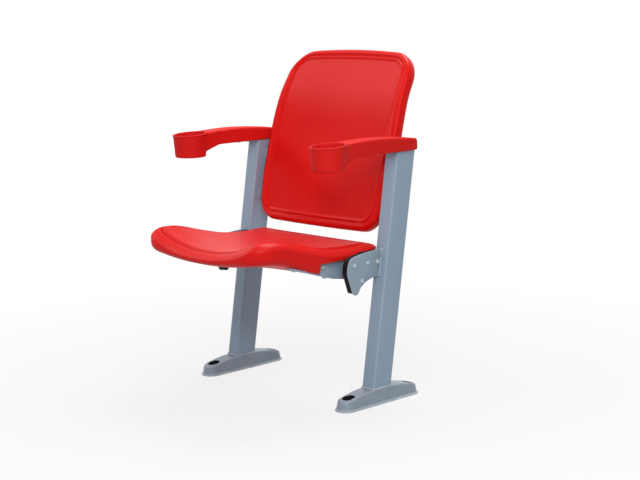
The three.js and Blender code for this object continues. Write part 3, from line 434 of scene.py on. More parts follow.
def side_plate(name, outline, from_x, to_x):
    """A plate from (y, z) places, between two X places."""
    count = len(outline)
    points = [(x, y, z) for x in (from_x, to_x) for y, z in outline]
    faces = [tuple(range(count)), tuple(range(2 * count - 1, count - 1, -1))]
    faces += [(i, (i + 1) % count, count + (i + 1) % count, count + i) for i in range(count)]
    return mesh_from(name, points, faces)


def mirrored(mesh, name):
    """The left-hand copy of a right-hand mesh."""
    copy = mesh.copy()
    copy.name = name
    copy.transform(Matrix.Scale(-1, 4, (1, 0, 0)))
    copy.flip_normals()
    return copy


def moved(mesh, x):
    """Moves a mesh sideways."""
    mesh.transform(Matrix.Translation((x * MM, 0, 0)))
    return mesh


def shown(name, mesh):
    piece = bpy.data.objects.new(name, mesh)
    bpy.context.scene.collection.objects.link(piece)
    return piece


def settled(piece):
    """Applies the piece's modifiers to its mesh."""
    graph = bpy.context.evaluated_depsgraph_get()
    mesh = bpy.data.meshes.new_from_object(piece.evaluated_get(graph))
    old = piece.data
    piece.modifiers.clear()
    piece.data = mesh
    mesh.name = old.name
    bpy.data.meshes.remove(old)
    return piece


def finished_mesh(piece):
    """Takes the mesh of a piece that was only made to shape it."""
    mesh = piece.data
    bpy.data.objects.remove(piece)
    return mesh


def joined(piece, tools, operation):
    """Adds or cuts the tool meshes and removes them."""
    helpers = []
    for index, mesh in enumerate(tools):
        helper = shown(f"tool_{index}", mesh)
        helpers.append(helper)
        change = piece.modifiers.new(operation, "BOOLEAN")
        change.operation = operation
        change.solver = "EXACT"
        change.object = helper
    settled(piece)
    for helper in helpers:
        mesh = helper.data
        bpy.data.objects.remove(helper)
        bpy.data.meshes.remove(mesh)
    return piece


def remeshed(piece, voxel, passes, keep):
    """Melts a joined solid into one moulded skin with small fillets."""
    melt = piece.modifiers.new("melt", "REMESH")
    melt.mode = "VOXEL"
    melt.voxel_size = voxel * MM
    ease = piece.modifiers.new("ease", "SMOOTH")
    ease.factor = 0.5
    ease.iterations = passes
    thin = piece.modifiers.new("thin", "DECIMATE")
    thin.ratio = keep
    return settled(piece)


def smooth(piece, angle=SHARP_ANGLE):
    """Shades a piece smooth, but for the edges that bend by more than the angle."""
    mesh = piece.data
    mesh.polygons.foreach_set("use_smooth", [True] * len(mesh.polygons))
    mesh.set_sharp_from_angle(angle=math.radians(angle))
    return piece


def soft_edges(piece, width, segments=2):
    """Rounds a piece's sharp edges."""
    bevel = piece.modifiers.new("soft edges", "BEVEL")
    bevel.width = width * MM
    bevel.segments = segments
    bevel.limit_method = "ANGLE"
    bevel.angle_limit = math.radians(SHARP_ANGLE)
    bevel.use_clamp_overlap = True
    return settled(piece)


def dress(piece, node_names, body, material):
    """Gives a piece its finish and body, and lets it stand for the nodes that are named."""
    piece.data.materials.clear()
    piece.data.materials.append(material)
    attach(piece, body)
    if node_names:
        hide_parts(*node_names)


def body_of(name):
    """The body that a node of the frame belongs to."""
    return SEAT_BODY if name in frame["record"]["behaviour"]["bodies"][SEAT_BODY] else FRAME_BODY


def both_sides(name, mesh, node, body, finish, angle=SHARP_ANGLE):
    """Shows a right-hand mesh and its mirror image, each in the place of its own node."""
    other = mirrored(mesh, f"left {name}")
    for side, data in (("right", mesh), ("left", other)):
        piece = smooth(shown(f"{side}_{name}", data), angle)
        dress(piece, [f"{side}_{node}"] if node else [], body, finish)


# Materials: shared effects
def group_start(name, inputs, output, kind="NodeSocketFloat"):
    """A node group with a socket for each number or colour, one output, and its two end nodes."""
    tree = bpy.data.node_groups.new(name, "ShaderNodeTree")
    for label, value in inputs.items():
        input_kind = "NodeSocketColor" if isinstance(value, tuple) else "NodeSocketFloat"
        tree.interface.new_socket(name=label, in_out="INPUT", socket_type=input_kind).default_value = value
    tree.interface.new_socket(name=output, in_out="OUTPUT", socket_type=kind)
    return tree, tree.nodes.new("NodeGroupInput"), tree.nodes.new("NodeGroupOutput")


def feed(tree, node, values):
    """Links each named input to the socket that is given for it, or sets it to the value."""
    for label, value in values.items():
        if isinstance(value, bpy.types.NodeSocket):
            tree.links.new(value, node.inputs[label])
        else:
            node.inputs[label].default_value = value


def add_node(tree, kind, values, output, **settings):
    """The output of a new node, once its settings are made and its inputs fed."""
    node = tree.nodes.new(f"ShaderNode{kind}")
    for label, setting in settings.items():
        setattr(node, label, setting)
    feed(tree, node, values)
    return node.outputs[output]


def add_noise(tree, scale, detail, rough=0.5):
    """Noise in the object's own place; scale is a number or a socket."""
    place = add_node(tree, "TexCoord", {}, "Object")
    return add_node(tree, "TexNoise", {"Vector": place, "Scale": scale, "Detail": detail, "Roughness": rough},
                    "Fac")


def add_math(tree, operation, first, second):
    return add_node(tree, "Math", {0: first, 1: second}, "Value", operation=operation)


def add_range(tree, value, low, high, to_low, to_high):
    return add_node(tree, "MapRange", {"Value": value, "From Min": low, "From Max": high, "To Min": to_low,
                                       "To Max": to_high}, "Result")


def add_mix(tree, share, first, second):
    return add_node(tree, "Mix", {"Factor": share, "A": first, "B": second}, "Result", data_type="RGBA")


def build_grain_group():
    """The height of a fine grain on a slow wave."""
    tree, given, out = group_start("moulded grain", {"Grain Scale": 900.0, "Wave Scale": 14.0,
                                                     "Wave Share": 0.5}, "Height")
    fine = add_noise(tree, given.outputs["Grain Scale"], 2.0)
    wave = add_noise(tree, given.outputs["Wave Scale"], 1.0)
    lifted = add_math(tree, "MULTIPLY", wave, given.outputs["Wave Share"])
    tree.links.new(add_math(tree, "ADD", fine, lifted), out.inputs["Height"])
    return tree


def build_tone_group():
    """A colour that drifts towards another in soft patches."""
    tree, given, out = group_start("uneven tone", {
        "Colour": (1, 1, 1, 1), "Other Colour": (0, 0, 0, 1), "Scale": 6.0, "Amount": 0.3},
        "Colour", "NodeSocketColor")
    cloud = add_noise(tree, given.outputs["Scale"], 4.0, 0.6)
    spread = add_range(tree, cloud, 0.35, 0.65, 0.0, 1.0)
    share = add_math(tree, "MULTIPLY", spread, given.outputs["Amount"])
    tree.links.new(add_mix(tree, share, given.outputs["Colour"], given.outputs["Other Colour"]),
                   out.inputs["Colour"])
    return tree


def build_scuff_and_highlight_group():
    """A mask that is 1 along edges, broken up by a fine noise: scuffs on most finishes, a painted highlight on
    the posts and feet.
    """
    tree, given, out = group_start("edge scuffs and painted highlight", {"Reach": 0.0015, "Break Scale": 90.0}, "Mask")
    rounded = add_node(tree, "Bevel", {"Radius": given.outputs["Reach"]}, "Normal", samples=4)
    facing = add_node(tree, "NewGeometry", {}, "Normal")
    likeness = add_node(tree, "VectorMath", {0: rounded, 1: facing}, "Value", operation="DOT_PRODUCT")
    edge = add_range(tree, likeness, 0.995, 0.9, 0.0, 1.0)
    broken = add_range(tree, add_noise(tree, given.outputs["Break Scale"], 3.0), 0.3, 0.7, 0.2, 1.0)
    tree.links.new(add_math(tree, "MULTIPLY", edge, broken), out.inputs["Mask"])
    return tree


def build_dust_group():
    """A mask of dust that lies on faces that look up."""
    tree, given, out = group_start("settled dust", {"Amount": 0.2, "Scale": 25.0}, "Mask")
    facing = add_node(tree, "NewGeometry", {}, "Normal")
    upward = add_node(tree, "SeparateXYZ", {"Vector": facing}, "Z")
    level = add_range(tree, upward, 0.3, 1.0, 0.0, 1.0)
    patch = add_range(tree, add_noise(tree, given.outputs["Scale"], 5.0, 0.65), 0.35, 0.7, 0.15, 1.0)
    mask = add_math(tree, "MULTIPLY", level, patch)
    tree.links.new(add_math(tree, "MULTIPLY", mask, given.outputs["Amount"]), out.inputs["Mask"])
    return tree


GRAIN = build_grain_group()
TONE = build_tone_group()
EDGE_SCUFFS_AND_HIGHLIGHT = build_scuff_and_highlight_group()
DUST = build_dust_group()
DUST_COLOUR = (0.55, 0.52, 0.48, 1)


def finish_of(name, colour, other, tone, scuffs_and_highlight, scuff_and_highlight_colour, dust, rough, bump, shine=0.5, metal=0.0,
              shine_colour=(1, 1, 1)):
    """A finish: uneven colour, lighter edges (scuffs, and a painted highlight on the posts and feet), settled
    dust, uneven roughness and a moulded or cast grain.
    """
    tone_scale, tone_share = tone
    edge_reach, break_scale, scuff_and_highlight_share = scuffs_and_highlight
    dust_share, dust_scale = dust
    smoothest, roughest, rough_scale = rough
    grain_scale, wave_scale, wave_share, grain_depth = bump
    material = bpy.data.materials.new(name)
    material.use_nodes = True
    tree = material.node_tree
    base = add_node(tree, "Group", {"Colour": (*colour, 1), "Other Colour": (*other, 1), "Scale": tone_scale,
                                    "Amount": tone_share}, "Colour", node_tree=TONE)
    # Lighter edges: scuffs, and on the posts and feet a painted highlight.
    scuffed_or_highlit = add_node(tree, "Group", {"Reach": edge_reach, "Break Scale": break_scale}, "Mask",
                      node_tree=EDGE_SCUFFS_AND_HIGHLIGHT)
    scuffed_or_highlit_colour = add_mix(tree, add_math(tree, "MULTIPLY", scuffed_or_highlit, scuff_and_highlight_share), base, (*scuff_and_highlight_colour, 1))
    dusty = add_node(tree, "Group", {"Amount": dust_share, "Scale": dust_scale}, "Mask", node_tree=DUST)
    patch = add_range(tree, add_noise(tree, rough_scale, 4.0), 0.3, 0.7, smoothest, roughest)
    grain = add_node(tree, "Group", {"Grain Scale": grain_scale, "Wave Scale": wave_scale,
                                     "Wave Share": wave_share}, "Height", node_tree=GRAIN)
    relief = add_node(tree, "Bump", {"Strength": 1.0, "Distance": grain_depth, "Height": grain}, "Normal")
    feed(tree, tree.nodes["Principled BSDF"], {
        "Base Color": add_mix(tree, dusty, scuffed_or_highlit_colour, DUST_COLOUR),
        "Roughness": add_math(tree, "ADD", patch, dusty), "Normal": relief, "Metallic": metal,
        "Specular IOR Level": shine, "Specular Tint": (*shine_colour, 1)})
    return material


# Each finish: colour, other colour, (tone scale, share), (edge reach, break scale, share), edge colour for
# scuffs and painted highlights, (dust share, scale), (least roughness, most, scale), (grain scale, wave scale,
# wave share, grain depth)
SEAT_RED = finish_of("red moulded seat", (0.64, 0.008, 0.006), (0.59, 0.006, 0.005), (5.0, 0.6),
                     (0.0012, 80.0, 0.06), (0.7, 0.06, 0.05), (0.01, 20.0), (0.38, 0.46, 9.0),
                     (1300.0, 12.0, 0.2, 0.00006), shine=0.13)
BACK_RED = finish_of("red moulded back", (0.66, 0.008, 0.006), (0.61, 0.006, 0.005), (5.0, 0.6),
                     (0.0012, 80.0, 0.06), (0.7, 0.06, 0.05), (0.01, 20.0), (0.26, 0.31, 9.0),
                     (1300.0, 12.0, 0.15, 0.00004), shine=0.11, shine_colour=(1, 0.65, 0.63))
ARMREST_RED = finish_of("red moulded armrest", (0.62, 0.010, 0.008), (0.56, 0.008, 0.007), (9.0, 0.6),
                        (0.0012, 80.0, 0.08), (0.7, 0.06, 0.05), (0.01, 20.0), (0.58, 0.66, 14.0),
                        (1500.0, 25.0, 0.2, 0.0001), shine=0.16, shine_colour=(1, 0.85, 0.83))
# On the posts the light edge colour is a painted highlight along the rounded corners.
POST_GREY = finish_of("grey enamel on steel", (0.25, 0.338, 0.44), (0.23, 0.312, 0.405), (7.0, 0.6),
                      (0.004, 30.0, 0.85), (0.6, 0.66, 0.73), (0.03, 30.0), (0.3, 0.42, 12.0),
                      (700.0, 60.0, 1.0, 0.00006))
HINGE_GREY = finish_of("grey enamel on hinge parts", (0.26, 0.335, 0.41), (0.22, 0.29, 0.355), (25.0, 0.6),
                       (0.0018, 60.0, 0.8), (0.55, 0.6, 0.66), (0.04, 30.0), (0.32, 0.46, 25.0),
                       (600.0, 90.0, 1.0, 0.0001))
# On the feet the light edge colour is a painted highlight along the top edges.
CAST_GREY = finish_of("silver grey paint on castings", (0.25, 0.31, 0.375), (0.2, 0.25, 0.305), (22.0, 0.7),
                      (0.0042, 30.0, 0.95), (0.66, 0.71, 0.77), (0.05, 25.0), (0.28, 0.4, 20.0),
                      (500.0, 120.0, 1.0, 0.00016))
BLACK_PLASTIC = finish_of("black plastic", (0.006, 0.006, 0.008), (0.01, 0.01, 0.012), (30.0, 0.8),
                          (0.0015, 70.0, 0.3), (0.05, 0.05, 0.05), (0.01, 40.0), (0.45, 0.62, 30.0),
                          (1100.0, 60.0, 1.0, 0.0001), shine=0.08)
CAP_BLACK = finish_of("matt black caps", (0.006, 0.006, 0.007), (0.011, 0.011, 0.012), (40.0, 0.8),
                      (0.0015, 70.0, 0.3), (0.04, 0.04, 0.04), (0.01, 40.0), (0.75, 0.9, 30.0),
                      (1100.0, 60.0, 1.0, 0.0001), shine=0.0)
RIVET_GREY = finish_of("worn enamel on rivets", (0.46, 0.52, 0.57), (0.36, 0.42, 0.48), (60.0, 0.7),
                       (0.0006, 200.0, 0.6), (0.66, 0.69, 0.72), (0.02, 60.0), (0.22, 0.34, 80.0),
                       (1200.0, 200.0, 0.6, 0.00004), metal=0.1)
WELD_GREY = finish_of("enamel on welds", (0.34, 0.41, 0.47), (0.2, 0.25, 0.3), (160.0, 0.9),
                      (0.001, 200.0, 0.6), (0.7, 0.73, 0.76), (0.03, 60.0), (0.3, 0.5, 80.0),
                      (700.0, 200.0, 0.6, 0.0002))
ZINC = finish_of("zinc on fasteners", (0.42, 0.44, 0.46), (0.3, 0.32, 0.34), (60.0, 0.7),
                 (0.0006, 200.0, 0.5), (0.65, 0.66, 0.67), (0.05, 60.0), (0.28, 0.45, 80.0),
                 (1500.0, 200.0, 0.6, 0.00005), metal=0.85)


# Seat shell
side_rise, centre_rise = smooth_line(SIDE_RISE), smooth_line(CENTRE_RISE)
side_under, centre_under = smooth_line(SIDE_UNDER), smooth_line(CENTRE_UNDER)


def saddle(base, centre_line, side_line, reach, x, y):
    """A height between the seat's centre line and its side line."""
    place = (y - SEAT_FRONT) / SEAT_DEPTH
    centre = centre_line(place)
    return base + SEAT_RISE * (centre + (side_line(place) - centre) * min(abs(x) / reach, 1) ** SADDLE_POWER)


def seat_top(x, y):
    return saddle(SEAT_TOP_HEIGHT, centre_rise, side_rise, SEAT_HALF_WIDTH - SEAT_PAD_INSET, x, y)


def seat_under(x, y):
    return saddle(SEAT_UNDER_HEIGHT, centre_under, side_under, SEAT_HALF_WIDTH, x, y)


def seat_outline(inset):
    return rounded_outline(2 * SEAT_HALF_WIDTH, SEAT_FRONT, SEAT_REAR, SEAT_FRONT_RADIUS, SEAT_REAR_RADIUS,
                           SEAT_OUTLINE_STEPS, inset)


def seat_relief(y):
    """How much of the pad's step and the band's sink is left at y: less along the rear edge."""
    share = clamped(((y - SEAT_FRONT) / SEAT_DEPTH - SEAT_FADE_START) / SEAT_FADE_LENGTH)
    return 1 - SEAT_REAR_FADE * share * share * (3 - 2 * share)


def seat_squeeze(x, y):
    """How much of both edge rolls has room where the shell is thin."""
    thickness = seat_top(x, y) - seat_under(x, y) - SEAT_BAND_SINK * seat_relief(y)
    return min(1, (thickness - SEAT_EDGE_WALL) / (SEAT_ROLL[1] + SEAT_UNDER_ROLL[1]))


def seat_mesh():
    middle = (SEAT_FRONT + SEAT_REAR) / 2
    pad_inset, pad_sink = SEAT_PAD_LINE[-1]
    rings = []
    for share in FAN_SHARES:
        rings.append([(x, y, seat_top(x, y) - pad_sink * seat_relief(y))
                      for x, y in shrunk(seat_outline(pad_inset + TOP_FAN_GAP), middle, share)])
    for inset, sink in reversed(SEAT_PAD_LINE):
        rings.append([(x, y, seat_top(x, y) - sink * seat_relief(y)) for x, y in seat_outline(inset)])
    for inset, sink in edge_roll(*SEAT_ROLL, SEAT_ROLL_STEPS, SEAT_ROLL_BEND)[1:]:
        rings.append([(x, y, seat_top(x, y) - SEAT_BAND_SINK * seat_relief(y) - sink * seat_squeeze(x, y))
                      for x, y in seat_outline(inset)])
    for inset, sink in reversed(edge_roll(*SEAT_UNDER_ROLL, SEAT_UNDER_ROLL_STEPS)):
        rings.append([(x, y, seat_under(x, y) + sink * seat_squeeze(x, y)) for x, y in seat_outline(inset)])
    for share in reversed(FAN_SHARES):
        rings.append([(x, y, seat_under(x, y))
                      for x, y in shrunk(seat_outline(SEAT_UNDER_ROLL[0] + UNDER_FAN_GAP), middle, share)])
    return ring_skin("seat shell", rings)


ARM_CUT_LOW = PIVOT_HEIGHT - SEAT_RISE


def arm_notch(side):
    """The room for a seat arm's plate, with the skirt's corner rounded in front of it."""
    skirt = seat_under(SEAT_HALF_WIDTH, NOTCH_FRONT)
    start = NOTCH_FRONT - NOTCH_CORNER
    outline = [(start, ARM_CUT_LOW), (start, skirt - NOTCH_LEAD)]
    for step in range(NOTCH_STEPS + 1):
        angle = QUARTER * step / NOTCH_STEPS
        outline.append((NOTCH_FRONT - NOTCH_CORNER * (1 - math.sin(angle)),
                        skirt + NOTCH_CORNER * (1 - math.cos(angle))))
    outline += [(NOTCH_FRONT, NOTCH_FLOOR - NOTCH_ROUND),
                (NOTCH_FRONT + NOTCH_ROUND / 3, NOTCH_FLOOR - NOTCH_ROUND / 3),
                (NOTCH_FRONT + NOTCH_ROUND, NOTCH_FLOOR),
                (SEAT_REAR + CUT_PAST, NOTCH_FLOOR), (SEAT_REAR + CUT_PAST, ARM_CUT_LOW)]
    inner, outer = ARM_INNER_X - FIT_GAP, SEAT_HALF_WIDTH + CUT_PAST
    return side_plate("notch", outline, inner * side, outer * side)


def flange_top(y):
    return ARM_FLANGE_REAR_HEIGHT + (ARM_FLANGE_REAR - y) * ARM_FLANGE_SLOPE + ARM_FLANGE_THICKNESS


def flange_landing(side):
    """The room for a seat arm's flange, which lies along a slope under the shell."""
    front, rear = ARM_FLANGE_FRONT - FIT_GAP, ARM_FLANGE_REAR + FIT_GAP
    outline = [(front, ARM_CUT_LOW), (rear, ARM_CUT_LOW)]
    outline += [(y, flange_top(y) + FIT_GAP) for y in (rear, front)]
    inner, outer = ARM_FLANGE_INNER_X - FIT_GAP, ARM_OUTER_X + FIT_GAP
    return side_plate("landing", outline, inner * side, outer * side)


seat = shown("seat_shell_skin", seat_mesh())
joined(seat, [arm_notch(1), arm_notch(-1), flange_landing(1), flange_landing(-1)], "DIFFERENCE")
smooth(seat)
dress(seat, ["seat_shell"], SEAT_BODY, SEAT_RED)


# Back shell
def back_curve():
    """Places along the back's side view, on a smooth curve through its knots, and the distance to each."""
    knots = [Vector((BACK_BOTTOM[0] + (BACK_TOP[0] - BACK_BOTTOM[0]) * lean,
                     BACK_BOTTOM[1] + (BACK_TOP[1] - BACK_BOTTOM[1]) * height)) for height, lean in BACK_LEAN]
    knots = [2 * knots[0] - knots[1], *knots, 2 * knots[-1] - knots[-2]]
    places = []
    for i in range(1, len(knots) - 2):
        p0, p1, p2, p3 = knots[i - 1:i + 3]
        t0 = 0
        t1 = t0 + math.sqrt((p1 - p0).length)
        t2 = t1 + math.sqrt((p2 - p1).length)
        t3 = t2 + math.sqrt((p3 - p2).length)
        count = BACK_SAMPLES // (len(knots) - 3)
        for step in range(count + (i == len(knots) - 3)):
            t = t1 + (t2 - t1) * step / count
            a1 = p0 * ((t1 - t) / (t1 - t0)) + p1 * ((t - t0) / (t1 - t0))
            a2 = p1 * ((t2 - t) / (t2 - t1)) + p2 * ((t - t1) / (t2 - t1))
            a3 = p2 * ((t3 - t) / (t3 - t2)) + p3 * ((t - t2) / (t3 - t2))
            b1 = a1 * ((t2 - t) / (t2 - t0)) + a2 * ((t - t0) / (t2 - t0))
            b2 = a2 * ((t3 - t) / (t3 - t1)) + a3 * ((t - t1) / (t3 - t1))
            places.append(b1 * ((t2 - t) / (t2 - t1)) + b2 * ((t - t1) / (t2 - t1)))
    places.append(knots[-2])
    lengths = [0.0]
    for first, second in zip(places, places[1:]):
        lengths.append(lengths[-1] + (second - first).length)
    return places, lengths


BACK_PLACES, BACK_LENGTHS = back_curve()
BACK_LENGTH = BACK_LENGTHS[-1]
back_width, back_hollow = smooth_line(BACK_WIDTH), smooth_line(BACK_HOLLOW_LINE)


def back_spot(along):
    """(place, up) on the back's side view at a distance along it."""
    along = min(max(along, 0), BACK_LENGTH)
    low = 0
    high = len(BACK_LENGTHS) - 1
    while high - low > 1:
        middle = (low + high) // 2
        low, high = (middle, high) if BACK_LENGTHS[middle] <= along else (low, middle)
    span = BACK_LENGTHS[high] - BACK_LENGTHS[low]
    share = (along - BACK_LENGTHS[low]) / span if span else 0
    place = BACK_PLACES[low].lerp(BACK_PLACES[high], share)
    before = BACK_PLACES[max(low - BACK_TANGENT_REACH, 0)]
    after = BACK_PLACES[min(high + BACK_TANGENT_REACH, len(BACK_PLACES) - 1)]
    return place, (after - before).normalized()


def back_point(across, along, depth):
    """A point at a distance along the back's side view and a depth behind it."""
    place, up = back_spot(along)
    return (across, place.x + up.y * depth, place.y - up.x * depth)


def back_outline(inset):
    return rounded_outline(2 * BACK_HALF_WIDTH, 0, BACK_LENGTH, BACK_BOTTOM_RADIUS, BACK_TOP_RADIUS,
                           BACK_OUTLINE_STEPS, inset)


def back_ring(places, depth_at):
    """A ring on the back, whose depth is worked out from the hollow at each of its places."""
    points = []
    for across, along in places:
        share = along / BACK_LENGTH
        side_share = (across / BACK_HALF_WIDTH) ** 2
        arched = along - side_share * (BACK_TOP_ARCH * share ** 2 - BACK_BOTTOM_ARCH * (1 - share) ** 2)
        hollow = BACK_HOLLOW * back_hollow(share) * (1 - side_share)
        points.append(back_point(across * back_width(share), arched, depth_at(hollow)))
    return points


def back_rear(hollow):
    return BACK_THICKNESS + hollow * BACK_REAR_FOLLOW


def back_mesh():
    middle = BACK_LENGTH / 2
    edge = edge_round(BACK_EDGE_ROUND, BACK_EDGE_STEPS)
    rings = []
    for share in FAN_SHARES:
        places = shrunk(back_outline(BACK_RIM_LINE[-1][0] + TOP_FAN_GAP), middle, share)
        rings.append(back_ring(places, lambda hollow: hollow + BACK_PANEL_SINK))
    for inset, sink in [*reversed(BACK_RIM_LINE), *edge]:
        rings.append(back_ring(back_outline(inset), lambda hollow, sink=sink: hollow + sink))
    for inset, sink in reversed(edge):
        rings.append(back_ring(back_outline(inset), lambda hollow, sink=sink: back_rear(hollow) - sink))
    for share in reversed(FAN_SHARES):
        places = shrunk(back_outline(BACK_EDGE_ROUND + UNDER_FAN_GAP), middle, share)
        rings.append(back_ring(places, back_rear))
    return ring_skin("back shell", rings)


back = smooth(shown("back_shell_skin", back_mesh()))
dress(back, ["back_shell"], FRAME_BODY, BACK_RED)


# Armrests
armrest_top, armrest_width = smooth_line(ARMREST_TOP_LINE), smooth_line(ARMREST_WIDTH_LINE)
CUP_RIM = ARMREST_UNDER + ARMREST_RISE * ARMREST_TOP_LINE[-1][1]
CUP_BOTTOM = CUP_RIM - CUP_HEIGHT


def armrest_share(y):
    return (ARMREST_REAR - y) / (ARMREST_REAR - CUP_Y)


def armrest_under(y):
    fall = clamped((ARMREST_ELBOW - y) / (ARMREST_ELBOW - ARMREST_NECK))
    return ARMREST_UNDER - (ARMREST_UNDER - ARMREST_NECK_HEIGHT) * fall


def armrest_ring(y, inset, under, drop):
    share = armrest_share(y)
    top = ARMREST_UNDER + ARMREST_RISE * armrest_top(share) - drop
    width = ARMREST_WIDTH * armrest_width(share) - 2 * inset
    places = rounded_outline(width, under, top, ARMREST_UNDER_RADIUS, ARMREST_TOP_RADIUS,
                             ARMREST_OUTLINE_STEPS)
    return [(x, y, z) for x, z in places]


def cup_line(wall, low, high):
    """The cup's side, drawn in by wall, with a round foot."""
    def radius(height):
        taper = (CUP_TOP_RADIUS - CUP_BOTTOM_RADIUS) * (height - CUP_BOTTOM) / CUP_HEIGHT
        return CUP_BOTTOM_RADIUS + taper - wall

    angles = [QUARTER * i / CUP_FOOT_STEPS for i in range(CUP_FOOT_STEPS + 1)]
    foot = [(radius(low) - CUP_FOOT_ROUND * (1 - math.sin(a)), low + CUP_FOOT_ROUND * (1 - math.cos(a)))
            for a in angles]
    return capped([*foot, (radius(high), high)])


def armrest_solid():
    rings = []
    for step in range(ARMREST_STEPS + 1):
        y = ARMREST_REAR - (ARMREST_REAR - CUP_Y) * step / ARMREST_STEPS
        inset = 0 if step else ARMREST_END_EASE
        rings.append(armrest_ring(y, inset, armrest_under(y) + inset, inset))
    return ring_skin("armrest", rings)


def armrest_hollow():
    """The room under the arm, from its rear end to the elbow."""
    rear, length = ARMREST_REAR - ARMREST_WALL, ARMREST_REAR - ARMREST_ELBOW - 2 * ARMREST_WALL
    rings = []
    for step in range(ARMREST_HOLLOW_STEPS + 1):
        y = rear - length * step / ARMREST_HOLLOW_STEPS
        rings.append(armrest_ring(y, ARMREST_WALL, ARMREST_UNDER - CUT_PAST, ARMREST_WALL))
    return ring_skin("hollow", rings)


def armrest_mesh():
    """An arm and its cup, joined, hollowed and melted into one moulding."""
    piece = shown("armrest", armrest_solid())
    place, up = (0, CUP_Y, 0), (0, 0, 1)
    tilt = Vector((0, -math.sin(CUP_TILT), math.cos(CUP_TILT)))
    lip = capped([(CUP_TOP_RADIUS + outset, height) for outset, height in CUP_LIP])
    body = turned("cup body", cup_line(0, CUP_BOTTOM, CUP_RIM - CUP_LIP_OVERLAP), place, up, CUP_SIDES)
    rim = turned("cup rim", lip, (0, CUP_Y, CUP_RIM), tilt, CUP_SIDES)
    joined(piece, [body, rim], "UNION")
    room_line = cup_line(CUP_WALL, CUP_BOTTOM + CUP_WALL, CUP_RIM + CUP_ROOM_PAST)
    room = turned("cup room", room_line, place, up, CUP_SIDES)
    drain = cylinder("drain", CUP_DRAIN_RADIUS, CUP_BOTTOM - CUT_PAST, CUP_BOTTOM + 2 * CUP_WALL, place,
                     sides=32)
    joined(piece, [room, drain, armrest_hollow()], "DIFFERENCE")
    return finished_mesh(remeshed(piece, *ARMREST_MELT))


both_sides("armrest_skin", moved(armrest_mesh(), POST_X + ARMREST_OUTSET), "armrest", FRAME_BODY,
           ARMREST_RED, MOULDED_SHARP_ANGLE)


# Posts: a bent-edged rectangular tube, leant back and cut level
def post_section(inset, grow=0.0):
    """(x, y) places round the tube's section, drawn in by an inset or grown."""
    x, y0, y1 = POST_WIDTH / 2 - inset + grow, inset - grow, POST_DEPTH - inset + grow
    radius = max(POST_RADIUS - inset + grow, 1)
    places = []
    for cx, cy, turn in ((x - radius, y0 + radius, -1), (x - radius, y1 - radius, 0),
                         (radius - x, y1 - radius, 1), (radius - x, y0 + radius, 2)):
        angles = [QUARTER * (turn + i / POST_CORNER_STEPS) for i in range(POST_CORNER_STEPS + 1)]
        places += [(cx + radius * math.cos(a), cy + radius * math.sin(a)) for a in angles]
    return places


def post_ring(height, inset, grow=0.0):
    return [(x, y / math.cos(POST_LEAN) + height * LEAN_SLOPE, height) for x, y in post_section(inset, grow)]


def post_mesh():
    """A tube that stands on the foot's top, with its bore."""
    low, top = FOOT_TOP + FIT_GAP, POST_TOP
    outer = [post_ring(low + (top - low) * i / POST_STEPS, 0) for i in range(POST_STEPS + 1)]
    inner = [post_ring(height, POST_WALL) for height in (top, low)]
    return loop_skin("post", outer + inner)


both_sides("post_skin", moved(post_mesh(), POST_X), "post", FRAME_BODY, POST_GREY)


# Weld beads: a rippled rod along a path
BEAD_STEP = 0.55
BEAD_SIDES = 10
BEAD_RIPPLE = 2.6
BEAD_RIPPLE_SHARE = 0.17
BEAD_SWELL_SHARE = 0.09
BEAD_SWELL_PACE = 0.61
BEAD_END_SHARE = 0.35
BEAD_CROSSWAY = Vector((0.31, 0.2, 0.93))


def bead_mesh(name, path, radius, closed, ripple=BEAD_RIPPLE):
    spots = [Vector(p) for p in path]
    count = len(spots)
    rings, run = [], 0.0
    for i, spot in enumerate(spots):
        ahead = spots[(i + 1) % count] if closed else spots[min(i + 1, count - 1)]
        behind = spots[i - 1] if closed else spots[max(i - 1, 0)]
        along = (ahead - behind).normalized()
        side = along.cross(BEAD_CROSSWAY).normalized()
        lift = side.cross(along)
        run += (spot - spots[i - 1]).length if i else 0
        wave = BEAD_RIPPLE_SHARE * math.sin(2 * math.pi * run / ripple)
        wide = radius * (1 + wave + BEAD_SWELL_SHARE * math.sin(run * BEAD_SWELL_PACE + 1))
        if not closed and i in (0, count - 1):
            wide *= BEAD_END_SHARE
        rings.append([tuple(spot + side * wide * math.cos(a) + lift * wide * math.sin(a))
                      for a in full_turn(BEAD_SIDES)])
    return loop_skin(name, rings) if closed else ring_skin(name, rings)


def between(start, end):
    """Places from start to just before end, a bead's step apart."""
    start, end = Vector(start), Vector(end)
    count = max(int((end - start).length / BEAD_STEP), 1)
    return [tuple(start.lerp(end, i / count)) for i in range(count)]


def round_path(corners):
    """The places between each corner and the next, and back to the first."""
    path = []
    for i, corner in enumerate(corners):
        path += between(corner, corners[(i + 1) % len(corners)])
    return path


# Feet: a casting that rises over a flange and a cove to a sloping top
FOOT_POST_FRONT = FOOT_TOP * LEAN_SLOPE
FOOT_POST_REAR = FOOT_POST_FRONT + POST_DEPTH / math.cos(POST_LEAN)


def foot_top(y):
    front_start = FOOT_POST_FRONT - FOOT_FRONT_SLOPE_GAP
    rear_start = FOOT_POST_REAR + FOOT_REAR_SLOPE_GAP
    front = (front_start - y) / (front_start - FOOT_FRONT)
    rear = (y - rear_start) / (FOOT_REAR - rear_start)
    return FOOT_TOP - (FOOT_TOP - FOOT_END) * max(front, rear, 0) ** FOOT_SLOPE_POWER


def foot_places(inset):
    """(x, y) places round the foot; an inset of half its width leaves the line along its middle."""
    reach = FOOT_WIDTH / 2 - inset
    front, rear = FOOT_FRONT + FOOT_WIDTH / 2, FOOT_REAR - FOOT_WIDTH / 2
    right = [(reach, front + (rear - front) * i / FOOT_SIDE_STEPS) for i in range(FOOT_SIDE_STEPS)]
    angles = [QUARTER * i / (FOOT_END_STEPS / 2) for i in range(FOOT_END_STEPS)]
    half = right + [(reach * math.cos(a), rear + reach * math.sin(a)) for a in angles]
    return half + [(-x, front + rear - y) for x, y in half]


